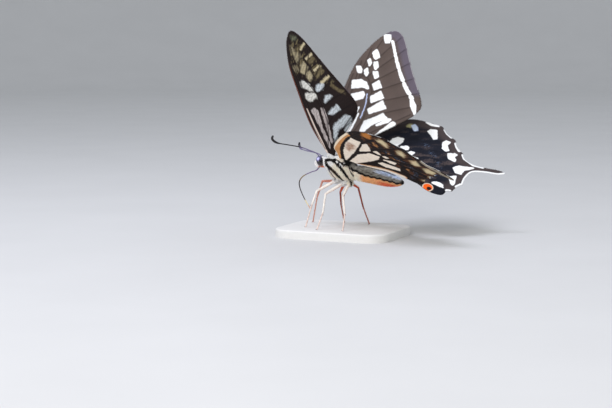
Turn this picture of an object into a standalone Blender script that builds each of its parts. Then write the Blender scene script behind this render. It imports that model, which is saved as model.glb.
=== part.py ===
"""Asian swallowtail butterfly, a still life-size model standing with its wings raised in a V.

Lengths in this file are millimetres and are turned into metres when a mesh is made.
The body's own directions are s (forward), y (to the butterfly's left) and d (towards its back).
The model's frame has -X forward, -Y to the butterfly's left and +Z up.
"""

import math

import bmesh
import bpy
from mathutils import Vector
from mathutils.geometry import delaunay_2d_cdt, intersect_point_line

# General
MM = 0.001
JOINT_GAP = 0.3
BODY_PITCH = 9.0
RING_SIDES = 20
CURVE_STEPS = 8
LIMB_STEPS = 3
HALF_WAY = 0.5

# Base under the feet
BASE_LENGTH = 36.0
BASE_WIDTH = 28.0
BASE_THICKNESS = 2.5
BASE_CORNER_RADIUS = 6.0
BASE_CORNER_STEPS = 6
BASE_CENTRE_X = 1.0
BASE_CENTRE_Y = 0.0
THORAX_HEIGHT_OVER_FEET = 18.3

# Head
HEAD_REAR = 4.95
HEAD_LENGTH = 2.8
HEAD_RADIUS_UP = 1.75
HEAD_RADIUS_SIDE = 1.9
HEAD_SIDE_FLAT = 1.25
HEAD_CENTRE_D = -0.2
HEAD_RINGS = 9
HEAD_FIRST_SHARE = 0.12
HEAD_LAST_SHARE = 0.98
EYE_CENTRE = (6.3, 0.12)
EYE_RADIUS_ALONG = 1.35
EYE_RADIUS_UP = 1.4
EYE_DEPTH = 1.15
EYE_RINGS = 6
EYE_SIDES = 20

# Thorax and abdomen, as (s, half width, top d, bottom d)
THORAX_STATIONS = [
    (4.65, 1.3, 1.1, -1.6),
    (4.0, 2.1, 2.0, -2.0),
    (2.8, 2.8, 3.0, -3.2),
    (1.2, 3.3, 3.5, -4.5),
    (-0.8, 3.5, 3.4, -5.0),
    (-2.8, 3.2, 2.7, -4.9),
    (-4.4, 2.6, 1.8, -4.4),
    (-5.1, 2.1, 1.1, -3.7),
]
ABDOMEN_STATIONS = [
    (-5.4, 1.9, 0.9, -3.5),
    (-6.2, 2.1, 1.2, -3.8),
    (-8.0, 2.2, 1.3, -3.8),
    (-10.5, 2.3, 1.25, -3.8),
    (-13.0, 2.3, 1.05, -3.8),
    (-15.5, 2.15, 0.75, -3.7),
    (-17.8, 1.8, 0.35, -3.35),
    (-19.6, 1.25, -0.15, -2.75),
    (-20.8, 0.65, -0.7, -2.1),
    (-21.3, 0.25, -1.1, -1.65),
]

# Feelers, palps and tongue, as points (s, y, d)
ANTENNA_LEFT = [
    (7.7, 1.25, 2.2),
    (9.6, 2.8, 2.9),
    (11.7, 4.4, 3.5),
    (14.7, 7.0, 3.8),
    (17.0, 9.0, 4.0),
    (18.1, 9.9, 4.5),
    (18.6, 10.3, 5.2),
    (18.5, 10.2, 6.1),
]
ANTENNA_RIGHT = [
    (7.8, -1.3, 1.7),
    (10.3, -3.2, 1.6),
    (12.7, -5.2, 1.3),
    (15.2, -7.4, 1.0),
    (17.2, -9.1, 0.9),
    (18.2, -10.0, 1.2),
    (18.8, -10.5, 1.8),
    (18.9, -10.6, 2.6),
]
ANTENNA_ROOT = (6.95, 0.75, 1.7)
ANTENNA_SHAFT_RADIUS = 0.25
ANTENNA_CLUB_RADIUS = 0.42
ANTENNA_TIP_RADIUS = 0.2
ANTENNA_SIDES = 8
CLUB_START = 0.72
CLUB_GROWTH = 0.16
PALP_ROOT = (7.1, 0.92, -2.0)
PALP_POINTS = [(7.8, 1.0, -1.98), (8.3, 0.95, -1.35), (8.45, 0.85, -0.5)]
PALP_RADII = [0.38, 0.42, 0.38, 0.25]
PROBOSCIS_ROOT = (6.85, 0.0, -2.6)
PROBOSCIS = [
    (7.4, 0.0, -3.1),
    (8.9, 0.0, -3.9),
    (11.2, 0.0, -5.5),
    (12.3, 0.0, -7.2),
    (12.1, 0.0, -9.0),
    (10.8, 0.0, -11.2),
    (9.2, 0.0, -13.2),
    (7.6, 0.0, -14.9),
]
PROBOSCIS_RADIUS = 0.3
PROBOSCIS_TIP_RADIUS = 0.2

# Legs: hip, knee and ankle as (s, y, d), and the foot as (x, y) in the model's frame from the thorax
LEGS = {
    "leg_front_left": ((0.7, 1.2, -5.1), (4.4, 4.4, -8.4), (5.0, 5.2, -12.5), (-8.8, -5.6)),
    "leg_front_right": ((0.9, -1.2, -5.15), (6.4, -3.6, -6.5), (7.9, -4.8, -12.0), (-11.6, 6.0)),
    "leg_middle_left": ((-2.1, 1.6, -5.2), (0.6, 6.6, -8.3), (-0.1, 8.2, -13.8), (-3.3, -9.6)),
    "leg_middle_right": ((-1.7, -1.6, -5.25), (0.6, -4.8, -8.8), (0.4, -6.4, -12.9), (-2.4, 9.0)),
    "leg_hind_left": ((-4.2, 1.4, -4.9), (-4.6, 5.6, -8.0), (-6.8, 7.6, -12.6), (4.8, -9.2)),
    "leg_hind_right": ((-3.9, -1.4, -4.95), (-5.1, -4.4, -6.3), (-6.6, -7.0, -12.3), (6.0, 8.6)),
}
HIP_RADIUS = 0.55
KNEE_RADIUS = 0.38
ANKLE_RADIUS = 0.3
FOOT_RADIUS = 0.4
FOOT_STEM = 0.9
LEG_SIDES = 8
BOSS_DEPTH = 2.0
HEAD_BOSS_RADIUS = 0.42
HEAD_BOSS_DEPTH = 1.2
BOSS_RADIUS = 0.6

# Wing pose: root (s, y, d), dihedral, sweep and twist in degrees
FOREWING_ROOT = (3.2, 1.9, 2.7)
HINDWING_ROOT = (-1.5, 2.5, 2.2)
WING_POSE = {
    "forewing_left": (FOREWING_ROOT, 1, 52.0, 8.0, -16.0),
    "forewing_right": (FOREWING_ROOT, -1, 59.0, -6.0, -12.0),
    "hindwing_left": (HINDWING_ROOT, 1, 31.0, -41.0, -6.0),
    "hindwing_right": (HINDWING_ROOT, -1, 36.0, -40.0, -13.0),
}
WING_ROOT_FRONT = 1.0
WING_ROOT_REAR = -2.1
WING_ROOT_OUT = 0.4
WING_BOSS_DEPTH = 1.7
WING_BOSS_HALF_THICKNESS = 0.5
WING_HALF_THICKNESS = 0.25
WING_ROOT_EXTRA = 0.15
WING_ROOT_FADE = 4.0
WING_CAMBER = 0.7
WING_REACH = 46.0
VEIN_HEIGHT = 0.12
VEIN_HALF_WIDTH = 0.35
VEIN_STEP = 2.3
VEIN_FOOT_CLEARANCE = 0.33
BORDER_CLEARANCE = 0.3
OUTLINE_STEP = 1.35
CDT_TOLERANCE = 0.00001

# Wing outlines from the root's front to its rear, x outwards and y forwards for a 45 mm forewing.
# A point with True is a corner, and the line between corners is a smooth curve.
FOREWING_OUTLINE = [
    ((7.5, 4.4), False),
    ((14.0, 5.8), False),
    ((20.0, 6.3), False),
    ((29.0, 6.6), False),
    ((35.0, 5.5), False),
    ((40.0, 3.8), False),
    ((44.0, 1.3), False),
    ((44.9, -0.8), False),
    ((43.0, -3.7), False),
    ((38.2, -7.2), False),
    ((33.6, -10.6), False),
    ((29.3, -14.2), False),
    ((26.0, -16.7), False),
    ((23.8, -17.7), False),
    ((21.6, -17.2), False),
    ((18.6, -15.6), False),
    ((11.0, -9.5), False),
    ((4.5, -4.2), True),
]
HINDWING_FRONT = [
    ((2.6, 3.6), False),
    ((4.4, 5.2), False),
    ((10.0, 6.9), False),
    ((19.0, 8.0), False),
    ((24.8, 7.2), False),
    ((28.7, 4.6), False),
    ((32.5, 1.0), True),
    ((32.3, -2.3), False),
    ((33.4, -5.4), True),
    ((32.5, -8.2), False),
    ((32.8, -11.2), True),
    ((32.3, -13.6), False),
]
HINDWING_REARS = {
    "hindwing_left": [
        ((33.3, -15.6), False),
        ((34.1, -18.0), False),
        ((34.5, -20.2), False),
        ((34.1, -21.9), False),
        ((32.9, -21.7), False),
        ((32.3, -19.8), False),
        ((31.2, -18.4), False),
        ((29.2, -18.0), False),
        ((27.2, -18.9), True),
        ((25.2, -18.3), False),
        ((23.2, -19.4), True),
        ((21.3, -18.9), False),
        ((18.8, -19.7), False),
        ((16.6, -20.4), False),
        ((15.0, -19.8), False),
        ((14.0, -17.9), False),
        ((13.2, -15.8), False),
        ((11.2, -12.2), False),
        ((5.5, -6.6), True),
    ],
    "hindwing_right": [
        ((33.8, -16.6), False),
        ((36.9, -19.0), False),
        ((39.8, -20.9), False),
        ((41.1, -22.6), False),
        ((38.8, -22.2), False),
        ((35.4, -20.2), False),
        ((31.8, -18.9), False),
        ((28.7, -20.2), False),
        ((26.4, -22.3), True),
        ((24.4, -22.5), False),
        ((22.2, -23.6), True),
        ((20.9, -22.9), False),
        ((18.9, -23.7), False),
        ((17.0, -22.6), False),
        ((15.3, -20.4), False),
        ((13.9, -16.8), False),
        ((11.2, -12.2), False),
        ((5.5, -6.6), True),
    ],
}

# Wing veins as points in the same coordinates
FOREWING_VEINS = [
    [(2.0, 0.9), (9.0, 3.4), (18.0, 5.0), (26.0, 5.9)],
    [(2.0, 0.3), (9.0, 2.0), (19.0, 3.7), (26.6, 3.2)],
    [(19.0, 3.7), (31.0, 5.4)],
    [(23.0, 3.6), (36.0, 4.4)],
    [(26.6, 3.2), (33.0, 3.3), (41.0, 2.4)],
    [(26.6, 3.2), (33.0, 1.4), (43.2, -2.4)],
    [(26.6, 3.2), (26.6, 1.5), (25.0, -0.3), (22.5, -2.0)],
    [(26.6, 1.5), (29.9, 0.0), (39.8, -5.2)],
    [(25.0, -0.3), (26.9, -1.6), (35.8, -8.2)],
    [(2.0, -0.3), (12.0, -3.0), (17.5, -2.8), (22.5, -2.0), (24.0, -3.6), (31.5, -11.4)],
    [(17.5, -2.8), (20.2, -5.0), (27.6, -14.8)],
    [(12.0, -3.0), (16.8, -7.1), (24.0, -16.7)],
    [(2.0, -0.9), (10.0, -7.0), (20.4, -15.8)],
]
HINDWING_VEINS = [
    [(1.4, 0.6), (6.6, 3.2), (14.0, 6.2), (26.4, 6.0)],
    [(3.4, 1.9), (3.6, 3.7)],
    [(2.2, -0.3), (12.5, 0.2), (17.5, -1.6)],
    [(12.5, 0.2), (19.7, 2.3), (31.4, 1.2)],
    [(17.5, -1.6), (21.0, -1.8), (32.6, -5.2)],
    [(17.5, -1.6), (18.6, -3.4), (18.3, -5.0)],
    [(18.6, -3.4), (23.5, -6.0), (32.0, -11.0)],
    [(18.3, -5.0), (20.5, -7.4), (27.0, -13.3), (33.4, -17.9), (37.5, -20.4), (40.0, -21.9)],
    [(2.6, -1.5), (11.9, -5.9), (16.0, -5.9), (18.3, -5.0)],
    [(16.0, -5.9), (20.4, -9.6), (26.0, -21.6)],
    [(11.9, -5.9), (16.8, -11.5), (20.0, -22.4)],
    [(3.2, -2.9), (7.1, -6.3), (12.1, -10.5), (15.4, -18.6)],
]

# Colour and roughness of each kind of node, by the start of its name
FINISHES = {
    "forewing": ((0.070, 0.055, 0.050), 0.6),
    "hindwing": ((0.055, 0.050, 0.055), 0.6),
    "head": ((0.750, 0.690, 0.560), 0.8),
    "palp": ((0.860, 0.840, 0.780), 0.8),
    "thorax": ((0.750, 0.650, 0.480), 0.8),
    "abdomen": ((0.240, 0.220, 0.220), 0.7),
    "eye": ((0.012, 0.010, 0.016), 0.15),
    "antenna": ((0.020, 0.017, 0.018), 0.4),
    "proboscis": ((0.040, 0.025, 0.024), 0.4),
    "leg": ((0.720, 0.600, 0.500), 0.55),
    "stand": ((0.720, 0.715, 0.680), 0.6),
}

# Position of the thorax's reference point in the model's frame
THORAX_X = -12.61
THORAX_Y = 1.174
THORAX_Z = BASE_THICKNESS + JOINT_GAP + THORAX_HEIGHT_OVER_FEET

PITCH = math.radians(BODY_PITCH)
FORWARD = Vector((-math.cos(PITCH), 0.0, math.sin(PITCH)))
LEFT = Vector((0.0, -1.0, 0.0))
BACK = Vector((math.sin(PITCH), 0.0, math.cos(PITCH)))
THORAX_POINT = Vector((THORAX_X, THORAX_Y, THORAX_Z))


def body_point(s, y, d):
    """Return the model-frame point of body coordinates."""
    return THORAX_POINT + FORWARD * s + LEFT * y + BACK * d


def clear_scene():
    for obj in list(bpy.data.objects):
        bpy.data.objects.remove(obj, do_unlink=True)


def make_object(name, points, faces):
    """Make a closed mesh object with outward faces from points in millimetres."""
    mesh = bpy.data.meshes.new(name)
    mesh.from_pydata([tuple(p * MM) for p in points], [], faces)
    shape = bmesh.new()
    shape.from_mesh(mesh)
    bmesh.ops.recalc_face_normals(shape, faces=shape.faces)
    shape.to_mesh(mesh)
    shape.free()
    obj = bpy.data.objects.new(name, mesh)
    bpy.context.scene.collection.objects.link(obj)
    return obj


def join_rings(name, rings):
    """Join equal rings of points into a tube closed by flat ends."""
    sides = len(rings[0])
    points = [p for ring in rings for p in ring]
    faces = []
    for row in range(len(rings) - 1):
        for i in range(sides):
            j = (i + 1) % sides
            a = row * sides
            b = a + sides
            faces.append((a + i, a + j, b + j, b + i))
    last = (len(rings) - 1) * sides
    faces.append(tuple(range(sides)))
    faces.append(tuple(range(last, last + sides)))
    return make_object(name, points, faces)


def body_ring(s, half_width, top, bottom, side_limit=None):
    """Return an oval ring across the body."""
    ring = []
    middle = (top + bottom) / 2
    half_height = (top - bottom) / 2
    for i in range(RING_SIDES):
        angle = math.tau * (i + 0.5) / RING_SIDES
        y = half_width * math.cos(angle)
        if side_limit is not None:
            y = max(-side_limit, min(side_limit, y))
        ring.append(body_point(s, y, middle + half_height * math.sin(angle)))
    return ring


def tube(name, points, radii, sides, end_normal=None):
    """Make a round bar through the points, its ends square to it or to end_normal."""
    rings = []
    side = None
    last = len(points) - 1
    for i, point in enumerate(points):
        before = (point - points[i - 1]).normalized() if i > 0 else None
        after = (points[i + 1] - point).normalized() if i < last else None
        along = before if after is None else after
        normal = along if before is None or after is None else (before + after).normalized()
        if i == last and end_normal is not None:
            normal = end_normal
        if side is None:
            side = along.orthogonal().normalized()
        side = (side - normal * side.dot(normal)).normalized()
        across = normal.cross(side)
        ring = []
        for k in range(sides):
            angle = math.tau * k / sides
            ring.append(point + (side * math.cos(angle) + across * math.sin(angle)) * radii[i])
        rings.append(ring)
    return join_rings(name, rings)


def smooth_points(points, steps):
    """Return a Catmull-Rom curve through the points."""
    first = points[0] * 2 - points[1]
    last = points[-1] * 2 - points[-2]
    padded = [first] + list(points) + [last]
    curve = []
    for i in range(1, len(padded) - 2):
        a, b, c, d = padded[i - 1 : i + 3]
        for k in range(steps):
            t = k / steps
            curve.append(
                0.5
                * (
                    b * 2
                    + (c - a) * t
                    + (a * 2 - b * 5 + c * 4 - d) * t * t
                    + (b * 3 - a - c * 3 + d) * t * t * t
                )
            )
    curve.append(points[-1])
    return curve


def union(name, objects):
    """Join overlapping solids into one and return it under the given name."""
    main = objects[0]
    extras = bpy.data.collections.new(name + "_extras")
    bpy.context.scene.collection.children.link(extras)
    for obj in objects[1:]:
        bpy.context.scene.collection.objects.unlink(obj)
        extras.objects.link(obj)
    modifier = main.modifiers.new("join", "BOOLEAN")
    modifier.operation = "UNION"
    modifier.solver = "EXACT"
    modifier.operand_type = "COLLECTION"
    modifier.collection = extras
    bpy.context.view_layer.objects.active = main
    main.select_set(True)
    bpy.ops.object.modifier_apply(modifier=modifier.name)
    for obj in list(extras.objects):
        bpy.data.objects.remove(obj, do_unlink=True)
    bpy.data.collections.remove(extras)
    main.name = name
    return main


def make_base():
    outline = []
    half_length = BASE_LENGTH / 2 - BASE_CORNER_RADIUS
    half_width = BASE_WIDTH / 2 - BASE_CORNER_RADIUS
    corners = [(1, 1), (-1, 1), (-1, -1), (1, -1)]
    for quarter, (along, across) in enumerate(corners):
        for k in range(BASE_CORNER_STEPS + 1):
            angle = math.radians(90.0) * (quarter + k / BASE_CORNER_STEPS)
            x = BASE_CENTRE_X + THORAX_X + along * half_length + BASE_CORNER_RADIUS * math.cos(angle)
            y = BASE_CENTRE_Y + THORAX_Y + across * half_width + BASE_CORNER_RADIUS * math.sin(angle)
            outline.append((x, y))
    low = [Vector((x, y, 0.0)) for x, y in outline]
    high = [Vector((x, y, BASE_THICKNESS)) for x, y in outline]
    join_rings("stand_base", [low, high])


def make_head():
    rings = []
    for k in range(HEAD_RINGS):
        along = k / (HEAD_RINGS - 1)
        share = HEAD_FIRST_SHARE + (HEAD_LAST_SHARE - HEAD_FIRST_SHARE) * along
        s = HEAD_REAR + HEAD_LENGTH * along
        swell = math.sqrt(1 - (2 * share - 1) ** 2)
        up = HEAD_RADIUS_UP * swell
        side = HEAD_RADIUS_SIDE * swell
        rings.append(body_ring(s, side, HEAD_CENTRE_D + up, HEAD_CENTRE_D - up, HEAD_SIDE_FLAT))
    pieces = [join_rings("head", rings)]
    for side in (1, -1):
        feeler = ANTENNA_LEFT if side > 0 else ANTENNA_RIGHT
        pieces.append(head_boss("antenna_boss", mirrored(ANTENNA_ROOT, side), feeler[0]))
        pieces.append(head_boss("palp_boss", mirrored(PALP_ROOT, side), mirrored(PALP_POINTS[0], side)))
    pieces.append(head_boss("tongue_boss", PROBOSCIS_ROOT, PROBOSCIS[0]))
    union("head", pieces)


def boss(name, root, towards, radius, depth):
    """Make a short round stub whose flat end stands half a gap before the root point."""
    along = (towards - root).normalized()
    end = root - along * (JOINT_GAP / 2)
    return tube(name, [end - along * depth, end], [radius, radius], LEG_SIDES)


def head_boss(name, root, towards):
    return boss(name, body_point(*root), body_point(*towards), HEAD_BOSS_RADIUS, HEAD_BOSS_DEPTH)


def mirrored(point, side):
    """Return body coordinates on the left for side 1 and on the right for side -1."""
    s, y, d = point
    return (s, side * y, d)


def start_point(root, towards):
    """Return where the limb of a root starts, half a gap beyond the root point."""
    return root + (towards - root).normalized() * (JOINT_GAP / 2)


def make_eye(name, side):
    s0, d0 = EYE_CENTRE
    base = HEAD_SIDE_FLAT + JOINT_GAP
    points = []
    for row in range(EYE_RINGS):
        angle = math.radians(90.0) * row / EYE_RINGS
        size = math.cos(angle)
        y = side * (base + EYE_DEPTH * math.sin(angle))
        for k in range(EYE_SIDES):
            turn = math.tau * k / EYE_SIDES
            s = s0 + EYE_RADIUS_ALONG * size * math.cos(turn)
            points.append(body_point(s, y, d0 + EYE_RADIUS_UP * size * math.sin(turn)))
    top = len(points)
    points.append(body_point(s0, side * (base + EYE_DEPTH), d0))
    faces = [tuple(range(EYE_SIDES))]
    for row in range(EYE_RINGS - 1):
        for k in range(EYE_SIDES):
            a = row * EYE_SIDES + k
            b = row * EYE_SIDES + (k + 1) % EYE_SIDES
            faces.append((a, b, b + EYE_SIDES, a + EYE_SIDES))
    last = (EYE_RINGS - 1) * EYE_SIDES
    for k in range(EYE_SIDES):
        faces.append((last + k, last + (k + 1) % EYE_SIDES, top))
    make_object(name, points, faces)


def make_antenna(name, side, route):
    points = [body_point(*p) for p in route]
    start = start_point(body_point(*mirrored(ANTENNA_ROOT, side)), points[0])
    curve = smooth_points([start] + points, LIMB_STEPS)
    radii = []
    for i in range(len(curve)):
        share = i / (len(curve) - 1)
        club = max(0.0, min(1.0, (share - CLUB_START) / CLUB_GROWTH))
        radii.append(ANTENNA_SHAFT_RADIUS + (ANTENNA_CLUB_RADIUS - ANTENNA_SHAFT_RADIUS) * club)
    radii[-1] = ANTENNA_TIP_RADIUS
    tube(name, curve, radii, ANTENNA_SIDES)


def make_palp(name, side):
    points = [body_point(*mirrored(p, side)) for p in PALP_POINTS]
    start = start_point(body_point(*mirrored(PALP_ROOT, side)), points[0])
    tube(name, [start] + points, PALP_RADII, LEG_SIDES)


def make_proboscis():
    points = [body_point(*p) for p in PROBOSCIS]
    start = start_point(body_point(*PROBOSCIS_ROOT), points[0])
    curve = smooth_points([start] + points, LIMB_STEPS)
    radii = []
    for i in range(len(curve)):
        share = i / (len(curve) - 1)
        radii.append(PROBOSCIS_RADIUS + (PROBOSCIS_TIP_RADIUS - PROBOSCIS_RADIUS) * share)
    tube("proboscis", curve, radii, ANTENNA_SIDES)


def make_leg(name):
    hip, knee, ankle, foot = LEGS[name]
    hip_point = body_point(*hip)
    knee_point = body_point(*knee)
    ankle_point = body_point(*ankle)
    foot_point = Vector((THORAX_X + foot[0], THORAX_Y + foot[1], BASE_THICKNESS + JOINT_GAP))
    stem_point = foot_point + (ankle_point - foot_point).normalized() * FOOT_STEM
    start = start_point(hip_point, knee_point)
    points = [start, start.lerp(knee_point, HALF_WAY), knee_point]
    points += [knee_point.lerp(ankle_point, HALF_WAY), ankle_point, stem_point, foot_point]
    radii = [HIP_RADIUS, HIP_RADIUS, KNEE_RADIUS, ANKLE_RADIUS, ANKLE_RADIUS, ANKLE_RADIUS, FOOT_RADIUS]
    tube(name, points, radii, LEG_SIDES, Vector((0.0, 0.0, -1.0)))


def wing_axes(name):
    """Return a wing's root point, its outward, forward and upper-face directions and its sweep."""
    root, side, dihedral, sweep, twist = WING_POSE[name]
    lift = math.radians(dihedral)
    turn = math.radians(twist)
    out = LEFT * side * math.cos(lift) + BACK * math.sin(lift)
    upper = BACK * math.cos(lift) - LEFT * side * math.sin(lift)
    ahead = FORWARD * math.cos(turn) - upper * math.sin(turn)
    face = upper * math.cos(turn) + FORWARD * math.sin(turn)
    point = body_point(root[0], side * root[1], root[2])
    return point, out, ahead, face, math.radians(sweep)


def swept(point, sweep):
    """Turn a wing outline point by the sweep, giving distances outwards and forwards."""
    x, y = point
    return (x * math.cos(sweep) - y * math.sin(sweep), x * math.sin(sweep) + y * math.cos(sweep))


def resample(points, step):
    """Return points along a line of 2D points about one step apart, with both ends kept."""
    kept = []
    for a, b in zip(points, points[1:]):
        parts = max(1, round((b - a).length / step))
        kept += [a.lerp(b, k / parts) for k in range(parts)]
    kept.append(points[-1])
    return kept


def outline_points(outline, sweep):
    """Return a wing's closed outline from the root's front to its rear."""
    front = Vector((WING_ROOT_OUT, WING_ROOT_FRONT))
    rear = Vector((WING_ROOT_OUT, WING_ROOT_REAR))
    runs = [[front]]
    for point, corner in outline:
        runs[-1].append(Vector(swept(point, sweep)))
        if corner:
            runs.append([runs[-1][-1]])
    runs[-1].append(rear)
    points = []
    for run in runs:
        curve = smooth_points(run, CURVE_STEPS)
        length = sum((b - a).length for a, b in zip(curve, curve[1:]))
        parts = max(2, round(length / OUTLINE_STEP))
        points += even_points(curve, length / parts, parts)
    points.append(rear)
    return points


def even_points(curve, step, parts):
    """Return the first points of parts equal lengths along a curve."""
    kept = [curve[0]]
    travelled = 0.0
    for a, b in zip(curve, curve[1:]):
        piece = (b - a).length
        while len(kept) < parts and travelled + piece >= step * len(kept):
            share = (step * len(kept) - travelled) / piece
            kept.append(a.lerp(b, share))
        travelled += piece
    return kept


def line_distance(point, lines):
    """Return the distance from a 2D point to the nearest of many lines."""
    nearest = math.inf
    for line in lines:
        for a, b in zip(line, line[1:]):
            foot, share = intersect_point_line(point, a, b)
            foot = a.lerp(b, max(0.0, min(1.0, share)))
            nearest = min(nearest, (point - foot).length)
    return nearest


def inside(point, outline):
    """Say whether a 2D point lies inside a closed outline."""
    odd = False
    for a, b in zip(outline, outline[1:] + outline[:1]):
        if (a.y > point.y) != (b.y > point.y):
            if point.x < (b.x - a.x) * (point.y - a.y) / (b.y - a.y) + a.x:
                odd = not odd
    return odd


def wing_points(outline, veins):
    """Return a wing's points: its outline, its vein crests, their feet and a loose web between."""
    closed = outline + outline[:1]
    points = list(outline)
    edges = [(i, (i + 1) % len(outline)) for i in range(len(outline))]
    for vein in veins:
        crest = [p for p in resample(vein, VEIN_STEP) if inside(p, outline)]
        for i, point in enumerate(crest):
            points.append(point)
            if i:
                edges.append((len(points) - 2, len(points) - 1))
    for vein in veins:
        crest = [p for p in resample(vein, VEIN_STEP) if inside(p, outline)]
        for a, b in zip(crest, crest[1:]):
            middle = a.lerp(b, HALF_WAY)
            across = Vector((a.y - b.y, b.x - a.x)).normalized() * VEIN_HALF_WIDTH
            for foot in (middle + across, middle - across):
                clear = line_distance(foot, veins) > VEIN_FOOT_CLEARANCE
                if clear and inside(foot, outline) and line_distance(foot, [closed]) > BORDER_CLEARANCE:
                    points.append(foot)
    return points, edges


def bow(point):
    """Return how far the wing's sheet bows up between its root and its tip."""
    return WING_CAMBER * math.sin(math.pi * min(1.0, point.length / WING_REACH))


def make_wing(name, outline, veins):
    root, out, ahead, face, sweep = wing_axes(name)
    border = outline_points(outline, sweep)
    lines = [[Vector(swept(p, sweep)) for p in vein] for vein in veins]
    points, edges = wing_points(border, lines)
    face_of_border = [list(range(len(border)))]
    flat, _, triangles, _, _, _ = delaunay_2d_cdt(points, edges, face_of_border, 1, CDT_TOLERANCE)
    upper = []
    lower = []
    for point in flat:
        half = WING_HALF_THICKNESS
        half += WING_ROOT_EXTRA * max(0.0, 1.0 - point.x / WING_ROOT_FADE)
        half += VEIN_HEIGHT * max(0.0, 1.0 - line_distance(point, lines) / VEIN_HALF_WIDTH)
        middle = root + out * point.x + ahead * point.y + face * bow(point)
        upper.append(middle + face * half)
        lower.append(middle - face * half)
    count = len(flat)
    faces = []
    rim = {}
    for triangle in triangles:
        a, b, c = triangle
        faces.append((a, b, c))
        faces.append((a + count, c + count, b + count))
        for edge in ((a, b), (b, c), (c, a)):
            key = tuple(sorted(edge))
            rim[key] = rim.get(key, 0) + 1
    for (a, b), uses in rim.items():
        if uses == 1:
            faces.append((a, b, b + count))
            faces.append((a, b + count, a + count))
    make_object(name, upper + lower, faces)


def wing_boss(name):
    """Make the stub on the thorax that a wing's root edge meets."""
    root, out, ahead, face, _ = wing_axes(name)
    end = WING_ROOT_OUT - JOINT_GAP
    rings = []
    for x in (end - WING_BOSS_DEPTH, end):
        ring = []
        for y, z in ((1, 1), (-1, 1), (-1, -1), (1, -1)):
            along = WING_ROOT_FRONT if y > 0 else WING_ROOT_REAR
            ring.append(root + out * x + ahead * along + face * z * WING_BOSS_HALF_THICKNESS)
        rings.append(ring)
    return join_rings(name + "_boss", rings)


def make_thorax():
    pieces = [join_rings("thorax", [body_ring(*station) for station in THORAX_STATIONS])]
    for hip, knee, _, _ in LEGS.values():
        pieces.append(boss("hip_boss", body_point(*hip), body_point(*knee), BOSS_RADIUS, BOSS_DEPTH))
    for name in WING_POSE:
        pieces.append(wing_boss(name))
    union("thorax", pieces)


def give_material(obj):
    """Give an object a plain material of its own."""
    colour, roughness = next(finish for start, finish in FINISHES.items() if obj.name.startswith(start))
    material = bpy.data.materials.new(obj.name + "_finish")
    material.use_nodes = True
    shader = material.node_tree.nodes["Principled BSDF"]
    shader.inputs["Base Color"].default_value = (*colour, 1.0)
    shader.inputs["Roughness"].default_value = roughness
    shader.inputs["Metallic"].default_value = 0.0
    obj.data.materials.clear()
    obj.data.materials.append(material)


def main():
    clear_scene()
    make_base()
    make_head()
    make_eye("eye_left", 1)
    make_eye("eye_right", -1)
    make_antenna("antenna_left", 1, ANTENNA_LEFT)
    make_antenna("antenna_right", -1, ANTENNA_RIGHT)
    make_palp("palp_left", 1)
    make_palp("palp_right", -1)
    make_proboscis()
    make_thorax()
    join_rings("abdomen", [body_ring(*station) for station in ABDOMEN_STATIONS])
    for name in LEGS:
        make_leg(name)
    for name in WING_POSE:
        if name.startswith("forewing"):
            make_wing(name, FOREWING_OUTLINE, FOREWING_VEINS)
        else:
            make_wing(name, HINDWING_FRONT + HINDWING_REARS[name], HINDWING_VEINS)
    for obj in bpy.data.objects:
        give_material(obj)


main()
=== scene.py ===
"""Looks of the Asian swallowtail model: its wings, body, fur, eyes, feelers, tongue, legs and base.

Lengths are millimetres until a mesh is made.
The body's directions are s (forward), y (to the butterfly's left) and d (towards its back).
A wing's directions are x (outwards from its root) and y (forwards), before the wing's sweep.
In the painting functions, fade's numbers are the two distances in millimetres that a mask
changes between, and a number before a mask is the share of its colour.
"""

import math

import bpy
import numpy as np
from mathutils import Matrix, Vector
from mathutils.geometry import delaunay_2d_cdt

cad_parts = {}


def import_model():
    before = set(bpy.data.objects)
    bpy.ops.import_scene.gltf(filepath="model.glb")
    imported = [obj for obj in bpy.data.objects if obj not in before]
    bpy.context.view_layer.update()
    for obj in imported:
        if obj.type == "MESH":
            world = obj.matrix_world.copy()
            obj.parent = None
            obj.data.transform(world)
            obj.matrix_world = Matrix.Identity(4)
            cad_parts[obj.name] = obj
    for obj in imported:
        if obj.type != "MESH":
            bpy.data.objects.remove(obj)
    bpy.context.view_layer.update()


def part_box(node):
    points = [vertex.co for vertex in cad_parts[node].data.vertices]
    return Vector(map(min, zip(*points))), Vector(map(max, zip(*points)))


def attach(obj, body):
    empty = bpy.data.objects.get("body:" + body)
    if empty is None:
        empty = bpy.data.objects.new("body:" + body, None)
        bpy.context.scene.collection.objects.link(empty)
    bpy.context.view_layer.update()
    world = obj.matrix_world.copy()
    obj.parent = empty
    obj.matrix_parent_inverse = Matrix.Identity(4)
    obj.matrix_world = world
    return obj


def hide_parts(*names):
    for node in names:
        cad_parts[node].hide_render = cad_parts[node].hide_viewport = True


MM = 0.001

# The body's place and directions in the model's frame
BODY_PITCH = math.radians(9.0)
THORAX_POINT = np.array([-12.61, 1.174, 21.1])
FORWARD = np.array([-math.cos(BODY_PITCH), 0.0, math.sin(BODY_PITCH)])
LEFT = np.array([0.0, -1.0, 0.0])
BACK = np.array([math.sin(BODY_PITCH), 0.0, math.cos(BODY_PITCH)])

# Camera: angles, distance from its target and the target's place from the thorax point
CAMERA_AZIMUTH = math.radians(24.5)
CAMERA_ELEVATION = math.radians(6.5)
CAMERA_DISTANCE = 450.0
CAMERA_TARGET_RIGHT = -10.21
CAMERA_TARGET_UP = -11.66
CAMERA_FOCAL_LENGTH = 88.7
CAMERA_SENSOR_WIDTH = 36.0
CAMERA_CLIP = (0.01, 10.0)

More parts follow.
